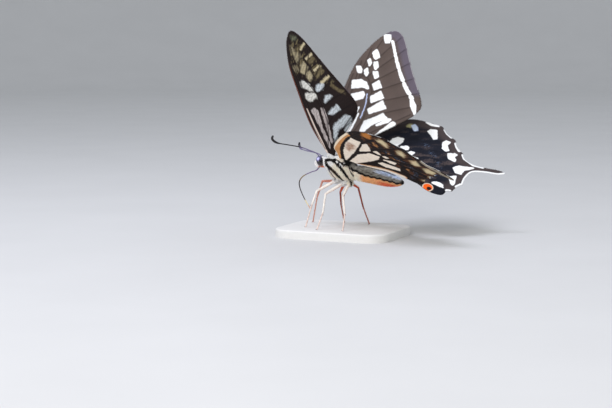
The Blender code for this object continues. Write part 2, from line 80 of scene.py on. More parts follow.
# Wing pose: root (s, y, d), side, dihedral, sweep and twist in degrees
FOREWING_ROOT = (3.2, 1.9, 2.7)
HINDWING_ROOT = (-1.5, 2.5, 2.2)
WING_POSE = {
    "forewing_left": (FOREWING_ROOT, 1, 52.0, 8.0, -16.0),
    "forewing_right": (FOREWING_ROOT, -1, 59.0, -6.0, -12.0),
    "hindwing_left": (HINDWING_ROOT, 1, 31.0, -41.0, -6.0),
    "hindwing_right": (HINDWING_ROOT, -1, 36.0, -40.0, -13.0),
}
WING_ROOT_FRONT = 1.0
WING_ROOT_REAR = -2.1
WING_ROOT_OUT = 0.4
WING_CAMBER = 0.7
WING_REACH = 46.0

# Wing sheet
WING_GRID = 0.17
ROW_RATIO = 0.866
GRID_CLEARANCE = 0.6
CURVE_STEPS = 8
CDT_TOLERANCE = 0.00001
MEMBRANE_HALF = 0.12
MARGIN_ROUNDING = 0.45
MARGIN_SHARE = 0.4
ROOT_EXTRA = 0.16
ROOT_FADE = 4.0
VEIN_HEIGHT = 0.11
VEIN_RADIUS_ROOT = 0.27
VEIN_RADIUS_MARGIN = 0.15
CELL_SAG = 0.13
CELL_SAG_WIDTH = 0.9
CELL_SAG_MARGIN = 1.5

# Wing fringe: its scales are sized by ranges of length, width and lift
FRINGE_STEP = 0.09
FRINGE_START = 3.0
FRINGE_INSET = 0.1
FRINGE_RISE = 0.04
FRINGE_SPRAY = 0.25
FRINGE_SIZES = ((0.25, 0.45), (0.06, 0.1), (0.0, 0.1))
FAR_FROM_VEINS = 9.0

# Places of a wing's two faces on the map that colours are baked to
WING_MAP_FIT = 2.05
WING_MAP_UPPER = (0.005, 0.005)
WING_MAP_UNDER = (0.505, 0.005)

# Wing outlines from the root's front to its rear, smooth but for the corners
FOREWING_OUTLINE = [
    (7.5, 4.4), (14.0, 5.8), (20.0, 6.3), (29.0, 6.6), (35.0, 5.5), (40.0, 3.8), (44.0, 1.3), (44.9, -0.8),
    (43.0, -3.7), (38.2, -7.2), (33.6, -10.6), (29.3, -14.2), (26.0, -16.7), (23.8, -17.7), (21.6, -17.2),
    (18.6, -15.6), (11.0, -9.5), (4.5, -4.2),
]
HINDWING_FRONT = [
    (2.6, 3.6), (4.4, 5.2), (10.0, 6.9), (19.0, 8.0), (24.8, 7.2), (28.7, 4.6), (32.5, 1.0), (32.3, -2.3),
    (33.4, -5.4), (32.5, -8.2), (32.8, -11.2), (32.3, -13.6),
]
HINDWING_REARS = {
    "hindwing_left": [
        (33.3, -15.6), (34.1, -18.0), (34.5, -20.2), (34.1, -21.9), (32.9, -21.7), (32.3, -19.8),
        (31.2, -18.4), (29.2, -18.0), (27.2, -18.9), (25.2, -18.3), (23.2, -19.4), (21.3, -18.9),
        (18.8, -19.7), (16.6, -20.4), (15.0, -19.8), (14.0, -17.9), (13.2, -15.8), (11.2, -12.2),
        (5.5, -6.6),
    ],
    "hindwing_right": [
        (33.8, -16.6), (36.9, -19.0), (39.8, -20.9), (41.1, -22.6), (38.8, -22.2), (35.4, -20.2),
        (31.8, -18.9), (28.7, -20.2), (26.4, -22.3), (24.4, -22.5), (22.2, -23.6), (20.9, -22.9),
        (18.9, -23.7), (17.0, -22.6), (15.3, -20.4), (13.9, -16.8), (11.2, -12.2), (5.5, -6.6),
    ],
}
WING_CORNERS = [
    (4.5, -4.2), (32.5, 1.0), (33.4, -5.4), (32.8, -11.2), (27.2, -18.9), (23.2, -19.4), (5.5, -6.6),
    (26.4, -22.3), (22.2, -23.6),
]

# Wing veins
FOREWING_VEINS = [
    [(2.0, 0.9), (9.0, 3.4), (18.0, 5.0), (26.0, 5.9)],
    [(2.0, 0.3), (9.0, 2.0), (19.0, 3.7), (26.6, 3.2)],
    [(19.0, 3.7), (31.0, 5.4)],
    [(23.0, 3.6), (36.0, 4.4)],
    [(26.6, 3.2), (33.0, 3.3), (41.0, 2.4)],
    [(26.6, 3.2), (33.0, 1.4), (43.2, -2.4)],
    [(26.6, 3.2), (26.6, 1.5), (25.0, -0.3), (22.5, -2.0)],
    [(26.6, 1.5), (29.9, 0.0), (39.8, -5.2)],
    [(25.0, -0.3), (26.9, -1.6), (35.8, -8.2)],
    [(2.0, -0.3), (12.0, -3.0), (17.5, -2.8), (22.5, -2.0), (24.0, -3.6), (31.5, -11.4)],
    [(17.5, -2.8), (20.2, -5.0), (27.6, -14.8)],
    [(12.0, -3.0), (16.8, -7.1), (24.0, -16.7)],
    [(2.0, -0.9), (10.0, -7.0), (20.4, -15.8)],
]
HINDWING_VEINS = [
    [(1.4, 0.6), (6.6, 3.2), (14.0, 6.2), (26.4, 6.0)],
    [(3.4, 1.9), (3.6, 3.7)],
    [(2.2, -0.3), (12.5, 0.2), (17.5, -1.6)],
    [(12.5, 0.2), (19.7, 2.3), (31.4, 1.2)],
    [(17.5, -1.6), (21.0, -1.8), (32.6, -5.2)],
    [(17.5, -1.6), (18.6, -3.4), (18.3, -5.0)],
    [(18.6, -3.4), (23.5, -6.0), (32.0, -11.0)],
    [(18.3, -5.0), (20.5, -7.4), (27.0, -13.3), (33.4, -17.9), (37.5, -20.4), (40.0, -21.9)],
    [(2.6, -1.5), (11.9, -5.9), (16.0, -5.9), (18.3, -5.0)],
    [(16.0, -5.9), (20.4, -9.6), (26.0, -21.6)],
    [(11.9, -5.9), (16.8, -11.5), (20.0, -22.4)],
    [(3.2, -2.9), (7.1, -6.3), (12.1, -10.5), (15.4, -18.6)],
]

# Painted marks: how round their corners are and how soft their edges
MARK_ROUNDING = 0.35
MARK_SOFTNESS = 0.14
EDGE_SOFTNESS = 0.12

# Pale marks of the forewing, each a short outline between two veins
CELL_BARS = [
    [(19.4, 3.6), (22.0, 0.4), (21.2, -0.5), (19.6, -0.5), (17.4, 2.7)],
    [(23.8, 5.3), (25.4, 2.8), (25.2, 0.8), (23.3, -0.8), (23.0, 1.2), (21.3, 4.4)],
]
COSTAL_SPOTS = [
    [(28.9, 6.1), (29.4, 4.9), (28.2, 3.6), (27.0, 3.6), (26.7, 4.7)],
    [(28.8, 3.3), (29.6, 2.7), (28.0, 1.5), (26.7, 1.7), (27.0, 2.6)],
    [(32.2, 3.9), (33.0, 3.3), (31.4, 2.1), (30.2, 2.3)],
]
DISCAL_SPOTS = [
    [(35.0, 3.6), (36.7, 2.7), (34.3, 0.6), (33.0, 1.5), (33.6, 2.6)],
    [(32.3, 1.8), (33.0, 0.8), (31.0, -0.4), (29.8, 0.1), (30.5, 1.1)],
    [(29.1, 0.7), (29.9, -0.6), (27.9, -1.9), (27.0, -1.0)],
    [(25.1, -0.9), (27.2, -2.3), (25.2, -4.2), (23.4, -2.4)],
    [(20.9, -2.1), (24.2, -4.4), (22.4, -6.3), (19.2, -3.1)],
    [(16.7, -3.1), (21.4, -6.4), (19.5, -8.3), (15.7, -4.0)],
    [(9.4, -3.9), (12.7, -3.7), (15.0, -5.8), (17.6, -8.3), (16.8, -9.9), (12.3, -6.2), (9.7, -4.9)],
    [(13.0, -7.6), (16.7, -10.2), (16.8, -11.2), (15.6, -11.0)],
    [(9.6, -8.7), (16.4, -12.1), (16.1, -13.0), (15.2, -12.9), (10.3, -9.7)],
]
CELL_LINES = [
    [(3.0, 0.1), (9.0, 0.4), (16.2, 0.9)],
    [(3.0, -0.1), (9.0, -0.5), (16.5, -0.4)],
    [(3.0, -0.3), (9.0, -1.2), (14.5, -1.2)],
]
CELL_END_LINE = [(21.6, -0.9), (17.7, -2.0), (13.5, -2.4)]
SUBMARGINAL_SPOT = [(42.2, 3.0), (43.1, 1.0), (41.6, 0.0), (40.0, 0.1), (39.5, 1.3)]
SUBMARGINAL_BAND = [
    (41.1, -0.5), (38.8, -2.1), (35.9, -4.1), (33.3, -6.1), (30.8, -8.2), (28.9, -10.0), (27.2, -11.9),
    (25.6, -13.9),
]
SUBMARGINAL_HALF_WIDTH = 0.58
SUBMARGINAL_LAST = [(24.9, -14.2), (23.0, -15.6), (21.2, -16.9)]
SUBMARGINAL_LAST_HALF_WIDTH = 0.95
FOREWING_MARGIN = [(44.5, 0.6)] + FOREWING_OUTLINE[7:12]

# Marks of the forewing's underside
UNDER_CELL_BUNDLES = [
    [(15.8, 2.6), (17.1, 0.7), (16.8, -0.4), (10.0, -0.5), (4.6, -1.7), (2.6, -1.2), (10.0, 0.8)],
    [(17.7, -1.9), (18.5, -3.2), (15.1, -3.5), (5.7, -3.0), (5.2, -2.6), (12.3, -2.0)],
]
UNDER_APEX = [(42.0, 1.2), (43.3, 0.0), (43.1, -1.5), (41.7, -0.3), (41.4, 1.0)]
UNDER_DIM = [
    [(39.1, 2.7), (38.4, 1.4), (34.7, 1.8), (35.4, 3.2)],
    [(35.6, 2.6), (37.3, 0.1), (36.0, -0.2), (32.7, 2.5)],
    [(30.7, 4.7), (31.6, 2.7), (30.2, 2.4), (28.9, 4.3)],
]
UNDER_YELLOW = [
    [(32.3, 1.2), (34.1, -1.2), (33.2, -1.9), (28.9, 0.6), (29.5, 2.2)],
    [(29.5, -0.2), (31.3, -2.2), (29.0, -2.5), (27.1, -0.8), (27.8, 0.3)],
]
UNDER_SPOTS = [
    [(25.5, 4.0), (26.7, 2.6), (25.8, -0.4), (24.8, -0.4), (23.2, 1.7), (23.8, 4.0)],
    [(25.3, 0.2), (24.3, -1.3), (23.3, 0.1), (23.5, 1.2)],
    [(21.0, 3.5), (22.2, 2.1), (22.9, -1.9), (21.3, -1.3), (19.3, 1.0), (19.2, 3.3)],
]
UNDER_SPOTS_BLUISH = [
    [(26.4, -2.9), (28.1, -6.5), (25.2, -5.3), (23.9, -2.3)],
    [(23.5, -5.5), (24.4, -8.6), (20.1, -4.1)],
    [(16.3, -4.5), (18.2, -6.0), (21.4, -9.8), (20.0, -10.5), (16.6, -6.3)],
    [(12.6, -5.5), (14.0, -7.1), (13.6, -8.2), (10.6, -6.4), (4.4, -4.4), (3.8, -3.5), (8.6, -4.5)],
    [(12.7, -5.8), (18.5, -12.2), (18.4, -14.0), (17.0, -13.6), (12.6, -8.6), (12.1, -7.1)],
    [(12.2, -9.7), (16.0, -13.4), (15.1, -13.3), (11.5, -9.5)],
]
UNDER_BRIGHT = [
    ((38.7, -1.2), (41.6, -3.9)),
    ((35.6, -2.3), (38.3, -5.4)),
    ((32.0, -4.1), (34.7, -7.4)),
    ((27.9, -5.5), (31.8, -9.8)),
]
UNDER_OLIVE_STREAKS = [
    [(38.0, 0.1), (39.7, -1.5)],
    [(34.8, -3.2), (36.7, -5.5)],
    [(30.3, -4.3), (33.3, -7.5)],
    [(28.3, -10.0), (27.3, -11.7), (27.1, -13.6)],
]
UNDER_COSTA_LINE = [(0.8, 0.7), (8.3, 2.9), (16.0, 4.4)]
STREAK_DIRECTION = math.radians(-38.0)

# Pale cells of the hindwing
FRONT_CELL_UNDER = [
    (1.6, -0.6), (3.7, 1.0), (7.0, 2.8), (13.3, 5.0), (18.8, 5.7), (19.9, 3.2), (15.2, 1.9), (10.1, 0.6),
]
HINDWING_CELLS = [
    [(13.2, 0.2), (19.1, 2.0), (21.0, 1.6), (20.0, 0.0), (17.6, -1.4)],
    [(0.4, -2.0), (10.4, -0.6), (16.3, -2.2), (17.7, -4.5), (15.9, -5.2), (10.8, -5.0), (2.0, -2.8)],
    [(18.4, -1.9), (20.4, -2.3), (20.0, -3.6), (19.2, -4.4), (18.6, -3.4)],
    [(18.9, -4.9), (20.6, -5.3), (20.8, -6.4), (19.2, -6.2)],
    [(17.0, -6.2), (19.3, -7.4), (20.2, -9.2), (18.9, -9.6), (17.5, -8.1)],
    [(12.4, -6.6), (14.8, -6.9), (17.9, -11.7), (16.6, -12.5), (13.0, -8.9)],
]
INNER_BAND = [(1.8, -3.4), (7.2, -7.3), (11.0, -10.6), (14.0, -15.0)]
COSTAL_LOBE = [(-1.0, -1.4), (4.0, 2.3), (10.4, 4.7), (19.8, 6.3), (20.5, 9.0), (8.0, 8.4), (0.0, 6.0)]
LOBE_BAND = [(-1.0, -1.2), (2.4, 1.1), (8.2, 4.1), (16.5, 6.0), (20.6, 6.0)]
CELL_SMUDGE = [(9.6, 3.3), (14.9, 4.7), (15.3, 3.0), (11.8, 1.6), (9.0, 2.0)]
LUNULES = [
    [(27.7, 1.3), (29.0, 1.6), (30.8, 0.6), (28.9, -3.0), (27.8, -2.8), (27.8, -1.0)],
    [
        (30.0, -4.5), (31.4, -4.5), (32.2, -5.3), (31.1, -5.7), (30.3, -6.9), (29.8, -8.6), (28.8, -8.6),
        (28.3, -7.0),
    ],
    [
        (29.0, -9.3), (31.1, -10.1), (31.7, -10.7), (30.5, -11.2), (30.0, -12.8), (29.4, -13.3),
        (28.0, -11.2),
    ],
    [
        (27.6, -15.0), (29.7, -14.9), (31.4, -16.1), (33.8, -17.5), (30.5, -17.3), (28.5, -18.4),
        (27.2, -17.0),
    ],
    [
        (25.1, -17.9), (27.1, -18.2), (26.3, -19.3), (24.9, -21.1), (24.1, -21.4), (23.8, -20.6),
        (24.4, -18.6),
    ],
    [
        (18.6, -18.1), (20.0, -18.2), (21.4, -19.5), (21.5, -20.5), (21.0, -21.4), (20.1, -20.8),
        (19.3, -19.5),
    ],
]
UPPER_CELLS = [
    [
        (1.6, -0.6), (3.7, 1.0), (7.0, 2.0), (14.9, 0.4), (10.1, 0.6), (10.4, -0.6), (15.0, -2.6),
        (8.0, -3.6), (2.0, -2.8),
    ],
    [
        (14.5, 1.2), (16.3, 2.4), (18.6, 1.9), (19.6, 1.0), (18.6, -0.3), (16.6, -1.1), (15.3, -1.3),
        (14.7, -0.2),
    ],
    [(16.7, -1.6), (19.3, -2.4), (19.3, -3.1), (18.5, -3.9), (16.9, -3.3)],
    [(17.3, -4.9), (18.3, -4.4), (19.5, -5.0), (19.9, -5.6), (18.1, -6.2), (17.3, -5.8)],
    [(17.1, -6.5), (18.6, -6.9), (19.7, -8.2), (19.0, -8.7), (17.3, -7.8)],
    [(12.4, -6.6), (14.8, -6.9), (17.9, -11.7), (16.6, -12.5), (13.0, -8.9)],
]
UPPER_MARK_SHIFT = (0.55, 0.2)
UPPER_APEX_PALE = [(24.2, 5.2), (25.6, 5.2), (25.8, 3.7), (24.9, 2.2), (23.9, 2.3), (23.9, 3.8)]
# Painted shadow: the front of the apex lunule, olive as if under the forewing
UPPER_APEX_SHADED = [(22.5, 5.2), (23.7, 5.9), (24.8, 5.4), (24.0, 4.2)]
TAIL_DUST = [(32.2, -12.0), (32.4, -15.6), (33.0, -18.0), (33.5, -21.2)]
UNDER_HINDWING_APEX = [(26.8, 5.9), (29.0, 5.2), (28.6, 3.5), (25.7, 2.5), (25.0, 4.9)]
UNDER_LUNULES = [
    [(27.9, 1.6), (30.5, 1.1), (29.8, -1.6), (27.6, -2.3)],
    [(28.9, -5.0), (31.0, -5.4), (30.6, -7.2), (27.8, -7.8), (27.4, -6.6)],
    [(28.0, -10.0), (30.6, -10.8), (29.2, -13.0), (26.6, -12.3)],
    [(28.0, -14.6), (30.6, -15.2), (31.0, -17.4), (28.6, -17.8), (27.0, -16.4)],
    [(24.6, -18.2), (26.6, -18.8), (25.6, -20.8), (23.8, -20.6)],
    [(19.4, -18.6), (21.0, -19.0), (21.6, -20.8), (20.0, -20.6)],
]
BLUE_DUST = [(24.0, -2.8), (24.0, -7.4), (23.9, -12.2), (21.6, -15.4), (17.6, -16.4)]
ORANGE_DUST = [(24.6, 1.4), (23.6, -4.8), (22.4, -9.0), (20.2, -13.0)]
EYESPOT = (16.7, -19.5)
EYESPOT_RADIUS = 1.35
EYESPOT_PUPIL = (16.8, -20.1)
EYESPOT_PUPIL_RADIUS = 0.72
TAIL_LOWER_EDGE = HINDWING_REARS["hindwing_right"][3:9]
HINDWING_NOTCHES = [
    [(28.9, 4.3), (29.7, 2.9), (31.3, 1.7)],
    [(32.6, -0.6), (32.5, -2.2), (32.9, -3.9)],
    [(32.9, -6.9), (32.5, -8.3), (32.4, -9.8)],
    [(32.6, -11.9), (32.3, -13.3), (33.6, -16.5), (35.8, -18.2)],
    [(25.9, -22.3), (24.4, -22.5)],
    [(21.6, -23.3), (20.9, -22.9)],
]

# Body skin: sections (s, half width, top, bottom)
BODY_SECTIONS = [
    (7.7, 0.4, 0.25, -0.7), (7.45, 0.85, 0.7, -1.15), (7.0, 1.2, 1.1, -1.55), (6.3, 1.4, 1.35, -1.75),
    (5.6, 1.4, 1.3, -1.7), (5.0, 1.35, 1.15, -1.6), (4.5, 1.6, 1.25, -1.7), (4.0, 2.0, 1.5, -1.85),
    (2.9, 2.6, 2.1, -2.95), (1.4, 3.05, 2.8, -4.1), (-0.8, 3.15, 2.9, -4.5), (-2.8, 2.85, 2.2, -4.4),
    (-4.4, 2.3, 1.4, -3.9), (-5.3, 1.8, 0.8, -3.3), (-6.2, 1.9, 1.0, -3.45), (-8.0, 2.05, 1.1, -3.5),
    (-10.5, 2.1, 1.12, -3.5), (-13.0, 2.1, 1.0, -3.5), (-15.5, 1.95, 0.75, -3.42),
    (-17.8, 1.6, 0.3, -3.05), (-19.3, 1.12, -0.15, -2.6), (-20.3, 0.62, -0.65, -2.05),
    (-20.8, 0.2, -1.15, -1.6),
]
BODY_RING_STEP = 0.12
BODY_SIDES = 72
SEGMENT_FIRST = -6.6
SEGMENT_LENGTH = 1.95
SEGMENT_DEPTH = 0.05
SEGMENT_GROOVE = 0.16
SKIN_VOXEL = 0.13
SKIN_SMOOTHING = 4
SKIN_SMOOTHING_SHARE = 0.5
PALP_ROOT = (6.4, 0.8, -1.6)
PALP_POINTS = [(7.15, 0.95, -1.5), (7.6, 0.95, -0.8), (7.75, 0.88, 0.0)]
PALP_RADII = [0.36, 0.33, 0.28, 0.16]
WING_STUB_RADII = (1.5, 0.5, 1.2)
STUB_SHIFT = 0.5
STUB_ROWS = 16
STUB_SIDES = 24
HIP_RADII = [0.75, 0.62, 0.42]
BODY_TUBE_SIDES = 16
SKIN_SHADE = 0.9
SKIN_MAP_FRONT = 9.0

# Stripes on the side of the thorax as points (s, d), with half widths
SIDE_STRIPES = [
    ([
        (5.1, 0.85), (4.2, 0.8), (3.1, 1.1), (2.0, 1.25), (0.8, 1.05), (-0.6, 0.35), (-1.85, -0.55),
        (-2.95, -1.75), (-3.85, -3.0), (-4.7, -4.5),
    ], 0.42),
    ([
        (3.7, 0.05), (2.9, -0.45), (1.7, -1.0), (0.5, -1.75), (-0.45, -2.5), (-1.3, -3.3), (-1.75, -3.9),
    ], 0.52),
    ([(2.7, -1.2), (1.9, -2.0), (1.3, -2.8), (0.8, -3.6), (0.5, -4.3)], 0.24),
]
REAR_STRIPE = ([(-2.9, 1.5), (-3.3, 0.9), (-3.8, 0.05), (-4.45, -0.8), (-5.0, -1.75)], 0.2)
WING_BASE_PATCH = ([(1.2, 1.45), (-0.3, 1.05), (-1.4, 0.8), (-2.4, 1.4)], 0.5)
WING_BASE_DOTS = [(0.4, 1.35), (0.1, 1.15), (-0.9, 0.75), (-1.5, 0.5), (-2.0, 1.15)]
COLLAR = ([(6.3, 1.75), (5.6, 1.0), (5.2, 0.55), (4.75, -0.1), (4.2, -1.0), (4.2, -1.8)], 0.42)
EYE_PATCH = ([(6.3, -1.85), (4.7, -1.55)], 0.38)
ABDOMEN_LINE = [
    (-4.2, 0.05), (-6.3, -0.7), (-8.5, -1.1), (-10.7, -1.25), (-13.0, -1.25), (-15.5, -1.4), (-17.2, -1.5),
    (-18.9, -1.75), (-19.7, -1.7),
]

# Eyes
EYE_CENTRE = (6.2, 0.06)
EYE_RADIUS_SHORT = 1.06
EYE_RADIUS_LONG = 1.62
EYE_TILT = math.radians(27.0)
# Centre of the painted highlight on the eye, forward and up as shares of its long radius
EYE_PAINTED_HIGHLIGHT_CENTRE = (0.16, 0.46)
EYE_INNER_Y = 0.9
EYE_OUTER_Y = 2.68
EYE_RINGS = 40
EYE_SIDES = 72

# Feelers and tongue as points (s, y, d)
TUBE_SIDES = 14
TUBE_END = 0.3
ANTENNA_ROOT = (6.75, 0.7, 1.15)
ANTENNA_LEFT = [
    (7.7, 1.25, 2.2), (9.6, 2.8, 2.9), (11.7, 4.4, 3.5), (14.7, 7.0, 3.8), (17.0, 9.0, 4.0),
    (18.1, 9.9, 4.5), (18.6, 10.3, 5.2), (18.5, 10.2, 6.1),
]
ANTENNA_RIGHT = [
    (7.8, -1.3, 1.7), (10.3, -3.2, 1.6), (12.7, -5.2, 1.3), (15.2, -7.4, 1.0), (17.2, -9.1, 0.9),
    (18.2, -10.0, 1.2), (18.8, -10.5, 1.8), (18.9, -10.6, 2.6),
]
ANTENNA_SEGMENTS = 38
ANTENNA_STEP = 0.09
ANTENNA_RADIUS = 0.17
ANTENNA_BASE_RADIUS = 0.26
CLUB_RADIUS = 0.37
CLUB_START = 0.74
CLUB_RISE = 0.14
PROBOSCIS_ROOT = (6.6, 0.0, -1.9)
PROBOSCIS = [
    (7.4, 0.0, -3.1), (8.9, 0.0, -3.9), (11.2, 0.0, -5.5), (12.3, 0.0, -7.2), (12.1, 0.0, -9.0),
    (10.8, 0.0, -11.2), (9.2, 0.0, -13.2), (7.6, 0.0, -14.9),
]
PROBOSCIS_RADIUS = 0.17
PROBOSCIS_TIP_RADIUS = 0.09
PROBOSCIS_RINGS = 90
PROBOSCIS_STEP = 0.1
PROBOSCIS_SPREAD = 0.8

# Legs: hip, knee and ankle as (s, y, d), and the foot as (x, y) in the model's frame from the thorax.
# Their hairs are sized by ranges of length, width and lift.
LEGS = {
    "leg_front_left": ((0.7, 1.2, -5.1), (4.4, 4.4, -8.4), (5.0, 5.2, -12.5), (-8.8, -5.6)),
    "leg_front_right": ((0.9, -1.2, -5.15), (6.4, -3.6, -6.5), (7.9, -4.8, -12.0), (-11.6, 6.0)),
    "leg_middle_left": ((-2.1, 1.6, -5.2), (0.6, 6.6, -8.3), (-0.1, 8.2, -13.8), (-3.3, -9.6)),
    "leg_middle_right": ((-1.7, -1.6, -5.25), (0.6, -4.8, -8.8), (0.4, -6.4, -12.9), (-2.4, 9.0)),
    "leg_hind_left": ((-4.2, 1.4, -4.9), (-4.6, 5.6, -8.0), (-6.8, 7.6, -12.6), (4.8, -9.2)),
    "leg_hind_right": ((-3.9, -1.4, -4.95), (-5.1, -4.4, -6.3), (-6.6, -7.0, -12.3), (6.0, 8.6)),
}
LEG_SIDES = 16
LEG_STEP = 0.12
HIP_DEPTH = 1.6
FEMUR_RADIUS = 0.4
KNEE_RADIUS = 0.23
TIBIA_RADIUS = 0.28
TARSUS_RADIUS = 0.19
TARSUS_SEGMENTS = 5
CLAW_LENGTH = 0.55
CLAW_RADIUS = 0.07
SPUR_LENGTH = 0.95
LEG_SPINES = 7
SPINE_LENGTH = 0.55
SPINE_RADIUS = 0.05
SPINE_SIDES = 6
BASE_TOP = 2.5
FOOT_HEIGHT = 0.16
LEG_HAIRS = 900
LEG_HAIR_SIZES = ((0.25, 0.5), (0.05, 0.09), (0.05, 0.35))
LEG_HAIR_SPRAY = 0.15
FRONT_LEG_PINK = 0.65

# Coat: tufts for each square millimetre, where they start and end along the body, and ranges of
# length, width and lift
COAT_REGIONS = [
    ("head_coat", 85.0, 9.0, 4.5, (0.3, 0.6), (0.07, 0.13), (0.12, 0.5)),
    ("thorax_coat", 62.0, 4.7, -5.4, (0.5, 1.0), (0.09, 0.16), (0.08, 0.4)),
    ("abdomen_coat", 52.0, -5.1, -30.0, (0.3, 0.55), (0.08, 0.14), (0.03, 0.18)),
]
TUFT_SEED = 11
TUFT_SUNK = 0.04
COAT_SPRAY = 0.2
TIP_SHADE = 1.1
TUFT_PATCH = 0.0015

# Base
BASE_CORNER_RADIUS = 6.0
BASE_CORNER_STEPS = 12
BASE_BEVEL = 0.5
BASE_BEVEL_STEPS = 5

# Stage, in metres
STAGE_RADIUS = 1.1
STAGE_CURVE = 0.35
STAGE_WALL = 0.12
STAGE_SIDES = 96
STAGE_STEPS = 16

# Light: the world, and lamps as name, place and size in metres from the thorax, power and colour
WORLD_COLOUR = (0.88, 0.92, 1.0, 1.0)
WORLD_STRENGTH = 0.68
LAMPS = [
    ("key", (0.12, -0.42, 0.36), 0.25, 0.75, (1.0, 0.96, 0.9)),
    ("sky", (-0.12, -0.2, 0.48), 0.2, 1.6, (0.84, 0.86, 1.0)),
    ("side", (0.1, -0.6, 0.1), 0.2, 0.85, (1.0, 0.97, 0.94)),
]


def srgb(red, green, blue):
    """Return the linear colour of screen values from 0 to 255."""
    values = np.array([red, green, blue]) / 255.0
    return np.where(values <= 0.04045, values / 12.92, ((values + 0.055) / 1.055) ** 2.4)


FOREWING_GROUND = srgb(88, 76, 70)
FOREWING_EDGE_GROUND = srgb(96, 88, 98)
FOREWING_WHITE = srgb(250, 251, 248)
BLUISH = srgb(190, 202, 232)
UNDER_GROUND = srgb(34, 23, 21)
UNDER_OLIVE = srgb(112, 100, 72)
UNDER_WHITE = srgb(240, 238, 230)
UNDER_BLUISH = srgb(222, 230, 234)
UNDER_STREAK = srgb(216, 204, 200)
UNDER_CREAM = srgb(206, 192, 156)
UNDER_APEX_GREEN = srgb(128, 134, 108)
UNDER_COSTA = srgb(120, 62, 42)
COSTA_PINK = srgb(240, 220, 206)
HIND_BLACK = srgb(26, 28, 38)
HIND_BROWN = srgb(76, 66, 64)
# Painted shadow colour on the hindwing's apex lunule
APEX_SHADE_OLIVE = srgb(196, 188, 136)
TAIL_BEIGE = srgb(176, 162, 142)
HIND_WHITE = srgb(251, 252, 250)
CREAM = srgb(250, 236, 218)
LOBE_ORANGE = srgb(208, 148, 92)
LOBE_EDGE = srgb(250, 232, 204)
ORANGE = srgb(226, 146, 70)
SMUDGE_TAN = srgb(158, 108, 76)
CLOUD_BROWN = srgb(104, 62, 34)
SPOT_YELLOW = srgb(228, 210, 168)
VEIN_BLACK = srgb(24, 14, 14)
RING_ORANGE = srgb(240, 100, 26)
DUST_BLUE = srgb(110, 130, 160)

FUR_CREAM = srgb(255, 240, 222)
FUR_WHITE = srgb(255, 252, 248)
FUR_BLACK = srgb(16, 11, 12)
FUR_BROWN = srgb(64, 42, 32)
FUR_LILAC = srgb(150, 140, 158)
FUR_ORANGE = srgb(232, 138, 98)
ABDOMEN_GREY = srgb(138, 134, 124)
# Painted sheen on the back of the abdomen
ABDOMEN_PAINTED_SHEEN = srgb(168, 182, 204)
ABDOMEN_TAN = srgb(236, 176, 124)
ABDOMEN_RED = srgb(226, 112, 78)
EYE_BLACK = srgb(12, 10, 16)
# Painted reflection and painted highlight colours of the eye
EYE_PAINTED_REFLECTION_VIOLET = srgb(70, 66, 120)
EYE_PAINTED_HIGHLIGHT_LILAC = srgb(196, 194, 240)
EYE_BROWN = srgb(96, 40, 24)
ANTENNA_BLACK = srgb(22, 18, 20)
# Painted sheen of the feelers
ANTENNA_PAINTED_SHEEN = srgb(132, 122, 160)
TONGUE_LILAC = srgb(112, 98, 130)
TONGUE_OCHRE = srgb(130, 104, 52)
TONGUE_BLACK = srgb(38, 26, 24)
TONGUE_CREAM = srgb(236, 218, 156)
TONGUE_TAN = srgb(210, 152, 108)
LEG_CREAM = srgb(252, 244, 234)
LEG_PINK = srgb(224, 168, 150)
LEG_RED = srgb(206, 92, 62)
LEG_BROWN = srgb(100, 44, 36)


def unit(vectors):
    """Return vectors of length one."""
    return vectors / np.maximum(np.linalg.norm(vectors, axis=-1, keepdims=True), 1e-12)


def body_points(places):
    """Return the model-frame points of rows of body coordinates (s, y, d)."""
    places = np.asarray(places, float)
    return THORAX_POINT + places[..., :1] * FORWARD + places[..., 1:2] * LEFT + places[..., 2:3] * BACK


def body_places(points):
    """Return the body coordinates (s, y, d) of model-frame points."""
    away = points - THORAX_POINT
    return np.stack([away @ FORWARD, away @ LEFT, away @ BACK], axis=-1)


def fade(values, start, end):
    """Return 0 before start, 1 after end and a smooth change between them."""
    share = np.clip((values - start) / (end - start), 0.0, 1.0)
    return share * share * (3.0 - 2.0 * share)


def cover(colours, mask, colour):
    """Lay a colour over others where the mask is 1."""
    return colours + (colour - colours) * mask[:, None]


def layered(colours, layers):
    """Lay several colours over others in turn, each where its mask is 1."""
    for mask, colour in layers:
        colours = cover(colours, mask, colour)
    return colours


def within(distance, softness=EDGE_SOFTNESS):
    """Return a mask that is 1 where a distance is less than 0, with a soft edge."""
    return fade(distance, softness, -softness)


def noise(points, size, seed):
    """Return smooth noise from -1 to 1 with features of one size, the same on every run."""
    grid = np.asarray(points, float) / size
    cell = np.floor(grid).astype(np.int64)
    part = grid - cell
    part = part * part * (3.0 - 2.0 * part)
    total = np.zeros(len(grid))
    for corner in range(2 ** grid.shape[1]):
        weight = np.ones(len(grid))
        mixed = np.full(len(grid), seed * 7919 + 17, np.int64)
        for axis in range(grid.shape[1]):
            step = (corner >> axis) & 1
            weight = weight * (part[:, axis] if step else 1.0 - part[:, axis])
            mixed = (mixed * 31 + cell[:, axis] + step) * 2654435761 % 4294967296
            mixed = mixed ^ (mixed >> 15)
        total += weight * ((mixed % 65536) / 32767.5 - 1.0)
    return total


def mottled(colour, points, strength, size, seed):
    """Return a colour for each point, a little lighter and darker from place to place."""
    return colour * (1.0 + strength * noise(points, size, seed))[:, None]


def wavering(points, reach, size, seed):
    """Return wing points moved a little, so that marks painted by them get uneven edges."""
    return points + reach * np.stack([noise(points, size, seed), noise(points, size, seed + 1)], axis=1)


